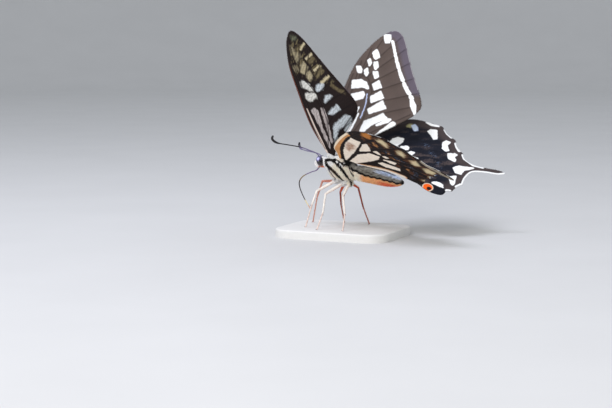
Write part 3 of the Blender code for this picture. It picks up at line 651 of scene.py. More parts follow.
def smooth_line(points, steps=CURVE_STEPS):
    """Return a Catmull-Rom curve through the points."""
    points = np.asarray(points, float)
    padded = np.vstack([2 * points[0] - points[1], points, 2 * points[-1] - points[-2]])
    t = np.arange(steps)[:, None] / steps
    parts = []
    for a, b, c, d in zip(padded, padded[1:], padded[2:], padded[3:]):
        bend = 2 * a - 5 * b + 4 * c - d
        twist = 3 * b - a - 3 * c + d
        parts.append(0.5 * (2 * b + (c - a) * t + bend * t**2 + twist * t**3))
    return np.vstack(parts + [points[-1:]])


def even_line(points, step):
    """Return points along a line about one step apart, with both ends kept."""
    points = np.asarray(points, float)
    lengths = np.concatenate([[0.0], np.cumsum(np.linalg.norm(np.diff(points, axis=0), axis=1))])
    count = max(2, int(round(lengths[-1] / step)) + 1)
    places = np.linspace(0.0, lengths[-1], count)
    return np.stack([np.interp(places, lengths, points[:, k]) for k in range(points.shape[1])], axis=1)


def line_distance(points, line):
    """Return the distance of each point to a line of points, and its share along it."""
    line = np.asarray(line, float)
    nearest = np.full(len(points), np.inf)
    along = np.zeros(len(points))
    total = np.linalg.norm(np.diff(line, axis=0), axis=1).sum()
    travelled = 0.0
    for a, b in zip(line, line[1:]):
        ab = b - a
        length = np.linalg.norm(ab)
        share = np.clip((points - a) @ ab / (length * length), 0.0, 1.0)
        away = np.linalg.norm(points - a - share[:, None] * ab, axis=1)
        closer = away < nearest
        nearest = np.where(closer, away, nearest)
        along = np.where(closer, (travelled + share * length) / total, along)
        travelled += length
    return nearest, along


def lines_distance(points, lines):
    """Return the distance of each point to the nearest of many lines."""
    return np.min([line_distance(points, line)[0] for line in lines], axis=0)


def curve_distance(points, line, steps=CURVE_STEPS):
    """Return the distance of each point to a smooth curve through a line's points."""
    return line_distance(points, smooth_line(line, steps))[0]


def shape_distance(points, outline):
    """Return how far each point is outside a closed outline, negative inside it."""
    corners = np.asarray(outline, float)
    x, y = points[:, 0], points[:, 1]
    nearest = np.full(len(points), np.inf)
    inside = np.zeros(len(points), bool)
    for a, b in zip(corners, np.roll(corners, -1, axis=0)):
        ab = b - a
        share = np.clip((points - a) @ ab / (ab @ ab), 0.0, 1.0)
        nearest = np.minimum(nearest, np.linalg.norm(points - a - share[:, None] * ab, axis=1))
        if a[1] != b[1]:
            crosses = (a[1] > y) != (b[1] > y)
            inside ^= crosses & (x < ab[0] * (y - a[1]) / ab[1] + a[0])
    return np.where(inside, -nearest, nearest)


def rounded_distance(points, outline, rounding=MARK_ROUNDING):
    """Return the distance outside an outline whose corners are rounded."""
    corners = np.asarray(outline, float)
    middle = corners.mean(axis=0)
    reach = np.linalg.norm(corners - middle, axis=1, keepdims=True)
    shrunk = middle + (corners - middle) * np.maximum(0.2, 1.0 - rounding * 1.25 / reach)
    return shape_distance(points, shrunk) - rounding


def rounded_distances(points, outlines, rounding=MARK_ROUNDING):
    """Return the distance to the nearest of several rounded outlines, less than 0 inside them."""
    return np.min([rounded_distance(points, outline, rounding) for outline in outlines], axis=0)


def marks(points, outlines, softness=MARK_SOFTNESS, rounding=MARK_ROUNDING, grow=0.0):
    """Return a mask that is 1 inside any of the rounded outlines."""
    return within(rounded_distances(points, outlines, rounding) - grow, softness)


def streaks(points, lines, half_width, softness=0.1):
    """Return a mask that is 1 along any of the lines."""
    nearest = lines_distance(points, lines)
    return fade(nearest, half_width + softness, half_width - softness)


def make_mesh(name, points, faces, colours=None):
    """Make a smooth mesh object from points in millimetres, with a colour for each point."""
    mesh = bpy.data.meshes.new(name)
    mesh.from_pydata(np.asarray(points) * MM, [], np.asarray(faces).tolist())
    mesh.update()
    mesh.shade_smooth()
    if colours is not None:
        layer = mesh.color_attributes.new("Colour", "FLOAT_COLOR", "POINT")
        filled = np.ones((len(points), 4))
        filled[:, :3] = np.clip(colours, 0.0, 1.0)
        layer.data.foreach_set("color", filled.astype(np.float32).ravel())
    obj = bpy.data.objects.new(name, mesh)
    bpy.context.scene.collection.objects.link(obj)
    return obj


def add_bake_map(obj, places):
    """Give each point its place on the map that colours are baked to."""
    mesh = obj.data
    layer = mesh.uv_layers.new(name="OFBake")
    corners = np.zeros(len(mesh.loops), np.int64)
    mesh.loops.foreach_get("vertex_index", corners)
    layer.data.foreach_set("uv", np.asarray(places, np.float32)[corners].ravel())


def finish_piece(obj, material, slot, *nodes):
    """Give a piece its material, put it under the root body and hide the nodes that it stands for; its slot
    is not used.
    """
    obj.data.materials.clear()
    obj.data.materials.append(material)
    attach(obj, "root")
    if nodes:
        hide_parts(*nodes)
    return obj


def tube_rings(curve, radii, sides):
    """Return rings of points round a curve, with their outward directions."""
    along = unit(np.gradient(curve, axis=0))
    side = unit(np.cross(along[0], [0.0, 0.0, 1.0] if abs(along[0][2]) < 0.9 else [0.0, 1.0, 0.0]))
    angles = math.tau * np.arange(sides) / sides
    rings = []
    outward = []
    for point, direction, radius in zip(curve, along, radii):
        side = unit(side - direction * (side @ direction))
        across = np.cross(direction, side)
        spokes = np.outer(np.cos(angles), side) + np.outer(np.sin(angles), across)
        rings.append(point + spokes * radius)
        outward.append(unit(spokes))
    return np.array(rings), np.array(outward)


def ring_faces(rows, sides):
    """Return the triangles of a closed tube of rings, with a fan over each end."""
    faces = []
    for row in range(rows - 1):
        a = row * sides
        for i in range(sides):
            j = (i + 1) % sides
            faces.append((a + i, a + j, a + sides + j))
            faces.append((a + i, a + sides + j, a + sides + i))
    start = rows * sides
    last = start - sides
    for i in range(sides):
        j = (i + 1) % sides
        faces.append((start, j, i))
        faces.append((start + 1, last + i, last + j))
    return np.array(faces)


def tube_parts(curve, radii, sides):
    """Return the points, triangles and outward directions of a tube with closed ends."""
    rings, outward = tube_rings(curve, radii, sides)
    ends = unit(np.array([curve[0] - curve[1], curve[-1] - curve[-2]]))
    tips = np.array([curve[k] + ends[k] * radii[k] * TUBE_END for k in (0, -1)])
    points = np.vstack([rings.reshape(-1, 3), tips])
    return points, ring_faces(len(curve), sides), np.vstack([outward.reshape(-1, 3), ends])


def tube_values(values, sides, ends):
    """Return a value for each point of a tube, from one for each ring and one for each end."""
    return np.concatenate([np.repeat(values, sides), ends])


def joined(parts):
    """Return several sets of points and triangles as one set."""
    starts = np.cumsum([0] + [len(points) for points, _ in parts])
    faces = [triangles + start for (_, triangles), start in zip(parts, starts)]
    return np.vstack([points for points, _ in parts]), np.vstack(faces)


def set_inputs(node, values):
    """Set a node's inputs from their names, and return the node."""
    for name, value in values.items():
        node.inputs[name].default_value = value
    return node


def colour_material(name, roughness, scale_size, contrast, scale_height, specular=0.5):
    """Make a material from the mesh's own colours with fine scales or grain over them."""
    material = bpy.data.materials.new(name)
    material.use_nodes = True
    nodes = material.node_tree.nodes
    links = material.node_tree.links
    shader = set_inputs(nodes["Principled BSDF"], {"Roughness": roughness, "Specular IOR Level": specular})
    colour = nodes.new("ShaderNodeAttribute")
    colour.attribute_name = "Colour"
    place = nodes.new("ShaderNodeTexCoord")
    frequency = 1.0 / (scale_size * MM)
    grain = set_inputs(nodes.new("ShaderNodeTexNoise"), {"Scale": frequency, "Detail": 3.0})
    scales = set_inputs(nodes.new("ShaderNodeTexVoronoi"), {"Scale": frequency})
    reach = {"From Min": 0.2, "From Max": 0.8, "To Min": 1.0 - contrast, "To Max": 1.0 + contrast}
    strength = set_inputs(nodes.new("ShaderNodeMapRange"), reach)
    mixed = nodes.new("ShaderNodeVectorMath")
    mixed.operation = "SCALE"
    bump = set_inputs(nodes.new("ShaderNodeBump"), {"Strength": 0.6, "Distance": scale_height * MM})
    links.new(place.outputs["Object"], grain.inputs["Vector"])
    links.new(place.outputs["Object"], scales.inputs["Vector"])
    links.new(grain.outputs["Fac"], strength.inputs["Value"])
    links.new(colour.outputs["Color"], mixed.inputs[0])
    links.new(strength.outputs["Result"], mixed.inputs["Scale"])
    links.new(mixed.outputs["Vector"], shader.inputs["Base Color"])
    links.new(scales.outputs["Distance"], bump.inputs["Height"])
    links.new(bump.outputs["Normal"], shader.inputs["Normal"])
    return material


def wing_material():
    """Make the matt material of the wings, with fine scales."""
    return colour_material("wing_scales", 0.7, 0.14, 0.14, 0.012, 0.12)


def skin_material():
    """Make the matt material of the skin under the fur."""
    return colour_material("body_skin", 0.85, 0.2, 0.12, 0.02, 0.2)


def coat_material():
    """Make the soft material of the fur and the leg hairs."""
    return colour_material("body_coat", 0.8, 0.3, 0.08, 0.005, 0.25)


def eye_material():
    """Make the glossy material of the eyes, with fine facets under a clear coat."""
    material = colour_material("eye_facets", 0.24, 0.09, 0.1, 0.0015)
    gloss = {"IOR": 1.4, "Coat Weight": 1.0, "Coat IOR": 1.5, "Coat Roughness": 0.15}
    set_inputs(material.node_tree.nodes["Principled BSDF"], gloss)
    return material


def antenna_material():
    """Make the satin material of the feelers."""
    return colour_material("antenna_rings", 0.4, 0.12, 0.15, 0.01)


def tongue_material():
    """Make the satin material of the tongue."""
    return colour_material("tongue_rings", 0.35, 0.12, 0.12, 0.01)


def leg_material():
    """Make the scaled material of the legs."""
    return colour_material("leg_scales", 0.55, 0.12, 0.12, 0.012, 0.3)


def wing_axes(name):
    """Return a wing's root point, its outward, forward and upper-face directions and its sweep."""
    root, side, dihedral, sweep, twist = WING_POSE[name]
    lift = math.radians(dihedral)
    turn = math.radians(twist)
    out = LEFT * side * math.cos(lift) + BACK * math.sin(lift)
    upper = BACK * math.cos(lift) - LEFT * side * math.sin(lift)
    ahead = FORWARD * math.cos(turn) - upper * math.sin(turn)
    face = upper * math.cos(turn) + FORWARD * math.sin(turn)
    point = body_points((root[0], side * root[1], root[2]))
    return point, out, ahead, face, math.radians(sweep)


def turned(points, angle):
    """Turn wing coordinates by an angle."""
    points = np.asarray(points, float)
    x, y = points[..., 0], points[..., 1]
    sine, cosine = math.sin(angle), math.cos(angle)
    return np.stack([x * cosine - y * sine, x * sine + y * cosine], axis=-1)


def wing_border(outline, sweep):
    """Return a wing's closed outline in swept coordinates, in points one grid step apart."""
    front = np.array([WING_ROOT_OUT, WING_ROOT_FRONT])
    rear = np.array([WING_ROOT_OUT, WING_ROOT_REAR])
    runs = [[front]]
    for point in outline:
        runs[-1].append(turned(point, sweep))
        if point in WING_CORNERS:
            runs.append([runs[-1][-1]])
    runs[-1].append(rear)
    parts = [even_line(smooth_line(run), WING_GRID)[:-1] for run in runs]
    parts.append(even_line([rear, front], WING_GRID)[:-1])
    return np.vstack(parts)


def wing_sheet(border):
    """Return the points and triangles of a fine flat sheet inside a border."""
    low = border.min(axis=0)
    high = border.max(axis=0)
    columns = np.arange(low[0], high[0], WING_GRID)
    rows = np.arange(low[1], high[1], WING_GRID * ROW_RATIO)
    x, y = np.meshgrid(columns, rows)
    x = x + WING_GRID * 0.5 * (np.arange(len(rows)) % 2)[:, None]
    grid = np.stack([x.ravel(), y.ravel()], axis=1)
    grid = grid[shape_distance(grid, border) < -GRID_CLEARANCE * WING_GRID]
    points = np.vstack([border, grid])
    count = len(border)
    edges = [(i, (i + 1) % count) for i in range(count)]
    vectors = [Vector(p) for p in points.tolist()]
    flat, _, triangles, _, _, _ = delaunay_2d_cdt(vectors, edges, [list(range(count))], 1, CDT_TOLERANCE)
    return np.array([tuple(p) for p in flat]), np.array(triangles)


def wing_relief(flat, vein_away, margin_away):
    """Return the height of a wing's middle sheet and half its thickness, with raised veins."""
    reach = np.clip(np.linalg.norm(flat, axis=1) / WING_REACH, 0, 1)
    vein_radius = VEIN_RADIUS_ROOT + (VEIN_RADIUS_MARGIN - VEIN_RADIUS_ROOT) * reach
    half = MEMBRANE_HALF + VEIN_HEIGHT * np.exp(-((vein_away / vein_radius) ** 2))
    half += ROOT_EXTRA * np.clip(1.0 - flat[:, 0] / ROOT_FADE, 0.0, 1.0)
    half *= MARGIN_SHARE + (1.0 - MARGIN_SHARE) * fade(margin_away, 0.0, MARGIN_ROUNDING)
    sag = CELL_SAG * (1.0 - np.exp(-((vein_away / CELL_SAG_WIDTH) ** 2)))
    return wing_bow(flat) - sag * fade(margin_away, 0.0, CELL_SAG_MARGIN), half


def closed_sheet(triangles, count):
    """Return the triangles of a sheet's upper face, its lower face and the rim between them."""
    sides = np.vstack([triangles[:, [0, 1]], triangles[:, [1, 2]], triangles[:, [2, 0]]])
    _, first, uses = np.unique(np.sort(sides, axis=1), axis=0, return_index=True, return_counts=True)
    a, b = sides[first[uses == 1]].T
    return np.vstack([
        triangles,
        triangles[:, ::-1] + count,
        np.stack([b, a, a + count], axis=1),
        np.stack([b, a + count, b + count], axis=1),
    ])


def make_wing(name, outline, veins, paint_upper, paint_under, material):
    """Make one wing with raised veins, a rounded margin and its own marks on each face."""
    root, out, ahead, face, sweep = wing_axes(name)
    border = wing_border(outline, sweep)
    flat, triangles = wing_sheet(border)
    places = turned(flat, -sweep)
    vein_away = lines_distance(places, [smooth_line(vein) for vein in veins])
    margin_away = line_distance(flat, np.vstack([border, border[:1]]))[0]
    sheet, half = wing_relief(flat, vein_away, margin_away)
    base = root + flat[:, :1] * out + flat[:, 1:] * ahead
    points = np.vstack([base + (sheet + half)[:, None] * face, base + (sheet - half)[:, None] * face])
    if np.cross(out, ahead) @ face < 0:
        triangles = triangles[:, ::-1]
    colours = np.vstack([paint(places, vein_away, margin_away) for paint in (paint_upper, paint_under)])
    obj = make_mesh(name + "_scaled", points, closed_sheet(triangles, len(flat)), colours)
    low = flat.min(axis=0)
    spread = (flat - low) / ((flat.max(axis=0) - low).max() * WING_MAP_FIT)
    add_bake_map(obj, np.vstack([spread + WING_MAP_UPPER, spread + WING_MAP_UNDER]))
    finish_piece(obj, material, "wing", name)
    make_fringe(name, border, paint_upper, material)


def wing_bow(flat):
    """Return how far the wing's sheet bows up between its root and its tip."""
    return WING_CAMBER * np.sin(math.pi * np.minimum(1.0, np.linalg.norm(flat, axis=1) / WING_REACH))


def make_fringe(name, border, paint, material):
    """Make the short hair scales along a wing's margin."""
    root, out, ahead, face, sweep = wing_axes(name)
    rng = np.random.default_rng(TUFT_SEED + len(name))
    line = even_line(np.vstack([border, border[:1]]), FRINGE_STEP)[:-1]
    line = line[line[:, 0] > FRINGE_START]
    forward = np.roll(line, -1, axis=0) - np.roll(line, 1, axis=0)
    outward = unit(np.stack([forward[:, 1], -forward[:, 0]], axis=1))
    if shape_distance((line + FRINGE_INSET * outward)[:1], border)[0] < 0:
        outward = -outward
    count = len(line)
    inner = line - outward * FRINGE_INSET
    roots = root + inner[:, :1] * out + inner[:, 1:] * ahead + wing_bow(line)[:, None] * face
    roots = roots + face * rng.uniform(-FRINGE_RISE, FRINGE_RISE, (count, 1))
    lie = outward[:, :1] * out + outward[:, 1:] * ahead + FRINGE_SPRAY * rng.normal(size=(count, 3))
    colours = paint(turned(line, -sweep), np.full(count, FAR_FROM_VEINS), np.zeros(count))
    colours = colours * rng.uniform(0.8, 1.0, (count, 1))
    sizes = tuft_sizes(rng, count, *FRINGE_SIZES)
    low = border.min(axis=0)
    spread = 0.02 + 0.96 * (line - low) / (border.max(axis=0) - low).max()
    normals = np.tile(face, (count, 1))
    tufts = make_tufts(name + "_fringe", roots, lie, normals, sizes, colours, colours, spread)
    finish_piece(tufts, material, "wing")


def forewing_upper(p, vein_away, margin_away):
    """Paint the forewing's upper face: brown-black with white bars, spots and a band by the margin."""
    x, y = p.T
    wavy = wavering(p, 0.1, 0.6, 1)
    margin = line_distance(p, FOREWING_MARGIN)[0]
    costa = fade(y - 0.12 * x, 0.6, 2.6) * fade(x, 24.0, 12.0)
    colours = layered(mottled(FOREWING_GROUND, p, 0.1, 2.5, 3), [
        (fade(margin, 3.4, 1.6), FOREWING_EDGE_GROUND),
        (0.5 * costa, FOREWING_EDGE_GROUND),
        (0.35 * fade(vein_away, 0.35, 0.05), 0.0),
    ])
    spots = marks(wavy, CELL_BARS + COSTAL_SPOTS + DISCAL_SPOTS + [SUBMARGINAL_SPOT])
    broken = 1.0 - 0.4 * fade(vein_away, 0.5, 0.1) * fade(x, 34.0, 31.0)
    away, along = line_distance(wavy, smooth_line(SUBMARGINAL_BAND))
    band = within(away - SUBMARGINAL_HALF_WIDTH * (0.72 + 0.4 * along) * broken)
    away, along = line_distance(wavy, smooth_line(SUBMARGINAL_LAST))
    last = within(away - SUBMARGINAL_LAST_HALF_WIDTH * (1.0 - 0.45 * np.abs(2.0 * along - 0.8)))
    lines = streaks(wavy, [smooth_line(line) for line in CELL_LINES], 0.3) * fade(x, 3.0, 8.0)
    fringe = fade(margin_away, 0.22, 0.12) * fade(margin, 0.8, 0.5)
    return layered(colours, [
        (np.max([spots, band, last, lines], axis=0), FOREWING_WHITE),
        (streaks(wavy, [smooth_line(CELL_END_LINE)], 0.16), BLUISH),
        (0.35 * fringe * fade(vein_away, 0.5, 1.0), FOREWING_WHITE),
    ])


def forewing_under(p, vein_away, margin_away):
    """Paint the forewing's under face: near black, with soft streaky pale marks."""
    x, y = p.T
    wavy = wavering(p, 0.22, 0.7, 4)
    loose = wavering(p, 0.32, 0.9, 9)
    margin = line_distance(p, FOREWING_MARGIN)[0]
    grain = turned(p, -STREAK_DIRECTION) * (0.32, 1.0)
    fine = noise(grain, 0.22, 6)
    streaky = 0.72 + 0.28 * fade(fine, -0.4, 0.3)
    outer = fade(x, 27.0, 31.0) * fade(margin, 0.9, 2.2) * fade(margin_away, 0.8, 2.0)
    mottle = fade(noise(grain, 0.55, 7) + 0.6 * fine, 0.05, 0.75)
    olive = fade(lines_distance(loose, UNDER_OLIVE_STREAKS), 1.3, 0.2)
    bright = fade(lines_distance(wavy, UNDER_BRIGHT), 0.6, 0.05)
    ray = np.arctan2(y + 0.4, x + 4.0)
    hairs = fade(np.cos(ray * 170.0) + 0.9 * noise(turned(p, 0.1) * (0.15, 1.0), 0.35, 8), -1.2, 0.3)
    hairs = np.clip((0.35 + 0.65 * hairs) * (0.85 + 0.15 * fine), 0, 1)
    costa = fade(margin_away, 0.7, 0.35) * fade(margin, 2.0, 4.0) * (y > 0)
    away, along = line_distance(p, smooth_line(UNDER_COSTA_LINE))
    pale_costa = within(away - (0.7 - 0.45 * along)) * (along < 0.98)
    return layered(UNDER_GROUND * (1.0 + 0.25 * fine)[:, None], [
        (0.85 * outer * mottle, UNDER_OLIVE * 1.15),
        (0.55 * streaky * marks(loose, UNDER_DIM, 0.7), UNDER_CREAM),
        (0.7 * streaky * marks(loose, [UNDER_APEX], 0.8, 0.4), UNDER_APEX_GREEN),
        (0.85 * streaky * marks(loose, UNDER_YELLOW, 0.6, 0.4), UNDER_CREAM),
        (0.6 * olive * streaky, UNDER_OLIVE * 1.6),
        (0.9 * bright, UNDER_CREAM * 1.2),
        (0.95 * streaky * marks(loose, UNDER_SPOTS, 0.45, 0.5), UNDER_WHITE),
        (0.95 * streaky * marks(wavy, UNDER_SPOTS_BLUISH, 0.38, 0.3), UNDER_BLUISH),
        (hairs * marks(wavy, UNDER_CELL_BUNDLES, 0.2, 0.2, 0.02), UNDER_STREAK),
        (costa * fade(x, 34.0, 26.0), UNDER_COSTA),
        (pale_costa, COSTA_PINK),
        (0.75 * fade(vein_away, 0.32, 0.12), VEIN_BLACK),
    ])


def eyespot(colours, p):
    """Paint the orange ring with its black pupil by the hindwing's tail."""
    ring = np.linalg.norm(p - EYESPOT, axis=1) - EYESPOT_RADIUS
    pupil = np.linalg.norm(p - EYESPOT_PUPIL, axis=1) - EYESPOT_PUPIL_RADIUS
    return layered(colours, [
        (fade(ring, 0.4, 0.2), LOBE_EDGE * 0.8),
        (fade(ring, 0.15, -0.05), RING_ORANGE),
        (within(pupil, 0.1), VEIN_BLACK),
    ])


def margin_white(p):
    """Return the mask of the white edge in the hindwing's notches and along its tail."""
    notch = fade(lines_distance(p, HINDWING_NOTCHES), 0.62, 0.42)
    return np.maximum(notch, fade(curve_distance(p, TAIL_LOWER_EDGE), 0.5, 0.32))


def hindwing_upper(p, vein_away, margin_away):
    """Paint the hindwing's upper face: black with pale cells, white lunules, blue dust and painted shadow on
    the apex lunule.
    """
    x, y = p.T
    wavy = wavering(p, 0.1, 0.6, 11) + UPPER_MARK_SHIFT
    edge = fade(margin_away, 4.5, 1.5) * (x > 12.0)
    anal = fade(x, 21.5, 20.0) * fade(y, -17.5, -19.0)
    brownish = fade(noise(turned(p, 0.35) * (0.3, 1.0), 0.9, 14) + noise(p, 0.3, 15) * 0.5, -0.1, 0.7)
    brownish = brownish * (0.5 + 0.5 * fade(y, -4.0, -9.0)) * fade(vein_away, 2.6, 0.2)
    dust = fade(curve_distance(p, BLUE_DUST), 1.2, 0.2) * fade(vein_away, 0.3, 0.9)
    speckle = fade(noise(p, 0.2, 16) + 0.7 * noise(p, 0.6, 17), 0.2, 0.9)
    colours = layered(mottled(HIND_BLACK, p, 0.2, 1.5, 13), [
        (0.8 * edge, HIND_BROWN),
        (anal, HIND_BLACK * 0.6),
        (0.75 * brownish * (1 - anal), HIND_BROWN * 1.3),
        (marks(wavy, UPPER_CELLS, 0.12, 0.4, -0.05), HIND_WHITE),
        (0.85 * fade(curve_distance(wavy, INNER_BAND), 1.1, 0.7), CREAM * 0.8),
        (0.55 * dust * speckle, DUST_BLUE),
        # Painted shadow of the forewing on the front of the apex lunule, in olive
        (0.9 * marks(wavy, [UPPER_APEX_SHADED], 0.4, 0.4), APEX_SHADE_OLIVE),
        (marks(wavy, [UPPER_APEX_PALE], 0.25, 0.3), BLUISH * 1.45),
        (marks(wavy, LUNULES, 0.12, 0.3), HIND_WHITE),
    ])
    return cover(eyespot(colours, p + UPPER_MARK_SHIFT), margin_white(p), HIND_WHITE)


def hindwing_under(p, vein_away, margin_away):
    """Paint the hindwing's under face: cream cells between black veins, an orange lobe and a dark border."""
    x, y = p.T
    wavy = wavering(p, 0.12, 0.7, 21)
    loose = wavering(p, 0.3, 0.8, 27)
    clouds = fade(noise(p, 1.3, 29) + 0.5 * noise(p, 0.5, 30), 0.0, 0.8)
    off_vein = fade(vein_away, 0.3, 0.9)
    border = fade(x, 16.0, 21.0) * fade(margin_away, 0.3, 1.2) * off_vein
    rim = 0.3 + 0.35 * fade(x, 4.0, 9.0)
    lobe_edge = within(margin_away - rim, 0.1) * (y > 1.2) * fade(x, 21.0, 19.0)
    front_cell = marks(wavy, [FRONT_CELL_UNDER], 0.12, 0.3)
    cells = marks(wavy, HINDWING_CELLS, 0.12, 0.3)
    scales = 1.0 + 0.05 * noise(p, 0.8, 25) + 0.05 * noise(p, 0.2, 32)
    smudge = marks(loose, [CELL_SMUDGE], 0.9, 0.6) * (0.85 + 0.25 * noise(p, 0.4, 31))
    inner = curve_distance(wavy, INNER_BAND)
    orange = fade(curve_distance(p, ORANGE_DUST), 1.5, 0.4) * fade(vein_away, 0.5, 1.1)
    blur = fade(rounded_distances(loose, UNDER_LUNULES), 1.6, 0.0)
    dust = fade(curve_distance(p, BLUE_DUST), 1.2, 0.3) * off_vein
    return layered(mottled(VEIN_BLACK, p, 0.2, 1.5, 23), [
        (0.75 * border * clouds, CLOUD_BROWN),
        (within(rounded_distance(wavy, COSTAL_LOBE, 0.2), 0.2), mottled(LOBE_ORANGE, p, 0.12, 1.2, 24)),
        (fade(curve_distance(wavy, LOBE_BAND), 0.62, 0.42), VEIN_BLACK),
        (lobe_edge, LOBE_EDGE),
        (np.maximum(front_cell, cells), CREAM * scales[:, None]),
        (0.9 * front_cell * np.clip(smudge, 0, 1), SMUDGE_TAN),
        (fade(inner, 1.15, 0.95), CREAM),
        (0.75 * fade(np.abs(inner - 0.9), 0.4, 0.15), LOBE_ORANGE),
        (0.6 * orange * clouds, LOBE_ORANGE),
        (0.8 * marks(loose, [UNDER_HINDWING_APEX], 0.6, 0.4), ORANGE * 0.8),
        (0.55 * blur * fade(noise(p, 0.7, 33), -0.6, 0.4), CLOUD_BROWN * 1.6),
        (0.9 * marks(loose, UNDER_LUNULES, 0.75, 0.5), SPOT_YELLOW),
        (0.8 * fade(curve_distance(loose, TAIL_DUST), 1.0, 0.4), TAIL_BEIGE),
        (0.5 * dust * fade(noise(p, 0.22, 26), 0.1, 0.7), DUST_BLUE),
    ])


def section_values(stations):
    """Return the body's half width, top and bottom at distances s along it."""
    table = np.array(BODY_SECTIONS)[::-1]
    smooth = smooth_line(table, 10)
    return [np.interp(stations, smooth[:, 0], smooth[:, k]) for k in (1, 2, 3)]


def body_core():
    """Return the points and triangles of the head, thorax and abdomen as one smooth lofted form."""
    first = BODY_SECTIONS[0][0]
    last = BODY_SECTIONS[-1][0]
    stations = np.arange(first, last, -BODY_RING_STEP)
    width, top, bottom = section_values(stations)
    phase = (SEGMENT_FIRST - stations) / SEGMENT_LENGTH
    groove = SEGMENT_DEPTH * np.exp(-(((phase - np.round(phase)) * SEGMENT_LENGTH / SEGMENT_GROOVE) ** 2))
    groove = np.where(stations < SEGMENT_FIRST + 0.5, groove, 0.0)
    angles = math.tau * np.arange(BODY_SIDES) / BODY_SIDES
    rings = []
    for s, w, t, b, g in zip(stations, width, top, bottom, groove):
        middle = (t + b) / 2
        ring = np.stack([
            np.full(BODY_SIDES, s),
            w * (1 - g) * np.cos(angles),
            middle + (t - b) / 2 * (1 - g) * np.sin(angles),
        ], axis=1)
        rings.append(body_points(ring))
    rings = np.array(rings)
    tips = np.array([rings[0].mean(axis=0), rings[-1].mean(axis=0)])
    points = np.vstack([rings.reshape(-1, 3), tips])
    return points, ring_faces(len(stations), BODY_SIDES)


def mirrored(place, side):
    """Return body coordinates on the left for side 1 and on the right for side -1."""
    return (place[0], side * place[1], place[2])


def ellipsoid_parts(centre, axes, radii):
    """Return the points and triangles of an ellipsoid along three directions."""
    points = []
    for row in range(STUB_ROWS):
        polar = math.pi * (row + 0.5) / STUB_ROWS
        for k in range(STUB_SIDES):
            turn = math.tau * k / STUB_SIDES
            spot = (math.sin(polar) * math.cos(turn), math.sin(polar) * math.sin(turn), math.cos(polar))
            away = sum(axis * radius * value for axis, radius, value in zip(axes, radii, spot))
            points.append(centre + away)
    points.append(centre + axes[2] * radii[2])
    points.append(centre - axes[2] * radii[2])
    return np.array(points), ring_faces(STUB_ROWS, STUB_SIDES)


def skin_parts():
    """Return the points and triangles of the body's core, palps, wing roots and hips, still overlapping."""
    parts = [body_core()]
    for side in (1, -1):
        route = [body_points(mirrored(p, side)) for p in [PALP_ROOT] + PALP_POINTS]
        curve = smooth_line(route, 6)
        radii = np.interp(np.linspace(0, 3, len(curve)), range(4), PALP_RADII)
        parts.append(tube_parts(curve, radii, BODY_TUBE_SIDES)[:2])
    for name in WING_POSE:
        root, out, ahead, face, _ = wing_axes(name)
        centre = root - out * STUB_SHIFT - ahead * STUB_SHIFT
        parts.append(ellipsoid_parts(centre, (ahead, face, out), WING_STUB_RADII))
    for hip, knee, _, _ in LEGS.values():
        root = body_points(hip)
        along = unit(body_points(knee) - root)
        curve = np.array([root - along * HIP_DEPTH, root - along * 0.4, root + along * 0.25])
        parts.append(tube_parts(curve, HIP_RADII, BODY_TUBE_SIDES)[:2])
    return joined(parts)


def remeshed(points, faces):
    """Return one closed surface round overlapping closed forms, as points and triangles."""
    mesh = bpy.data.meshes.new("skin_parts")
    mesh.from_pydata(points, [], np.asarray(faces).tolist())
    obj = bpy.data.objects.new("skin_parts", mesh)
    bpy.context.scene.collection.objects.link(obj)
    remesh = obj.modifiers.new("remesh", "REMESH")
    remesh.mode = "VOXEL"
    remesh.voxel_size = SKIN_VOXEL
    smooth = obj.modifiers.new("smooth", "SMOOTH")
    smooth.factor = SKIN_SMOOTHING_SHARE
    smooth.iterations = SKIN_SMOOTHING
    evaluated = obj.evaluated_get(bpy.context.evaluated_depsgraph_get())
    result = evaluated.to_mesh()
    result.calc_loop_triangles()
    found = np.zeros(len(result.vertices) * 3)
    result.vertices.foreach_get("co", found)
    triangles = np.zeros(len(result.loop_triangles) * 3, np.int64)
    result.loop_triangles.foreach_get("vertices", triangles)
    evaluated.to_mesh_clear()
    bpy.data.objects.remove(obj, do_unlink=True)
    bpy.data.meshes.remove(mesh)
    return found.reshape(-1, 3), triangles.reshape(-1, 3)


def eye_oval(s, d):
    """Return 1 on the rim of the eye's oval, less inside it and more outside."""
    along, up = s - EYE_CENTRE[0], d - EYE_CENTRE[1]
    long_way = along * math.sin(EYE_TILT) + up * math.cos(EYE_TILT)
    short_way = along * math.cos(EYE_TILT) - up * math.sin(EYE_TILT)
    return np.hypot(long_way / EYE_RADIUS_LONG, short_way / EYE_RADIUS_SHORT)


def stripe(lateral, line, half_width):
    """Return a mask that is 1 along a stripe given by points (s, d)."""
    away = curve_distance(lateral, line, 4)
    return fade(away, half_width + 0.08, half_width - 0.1)


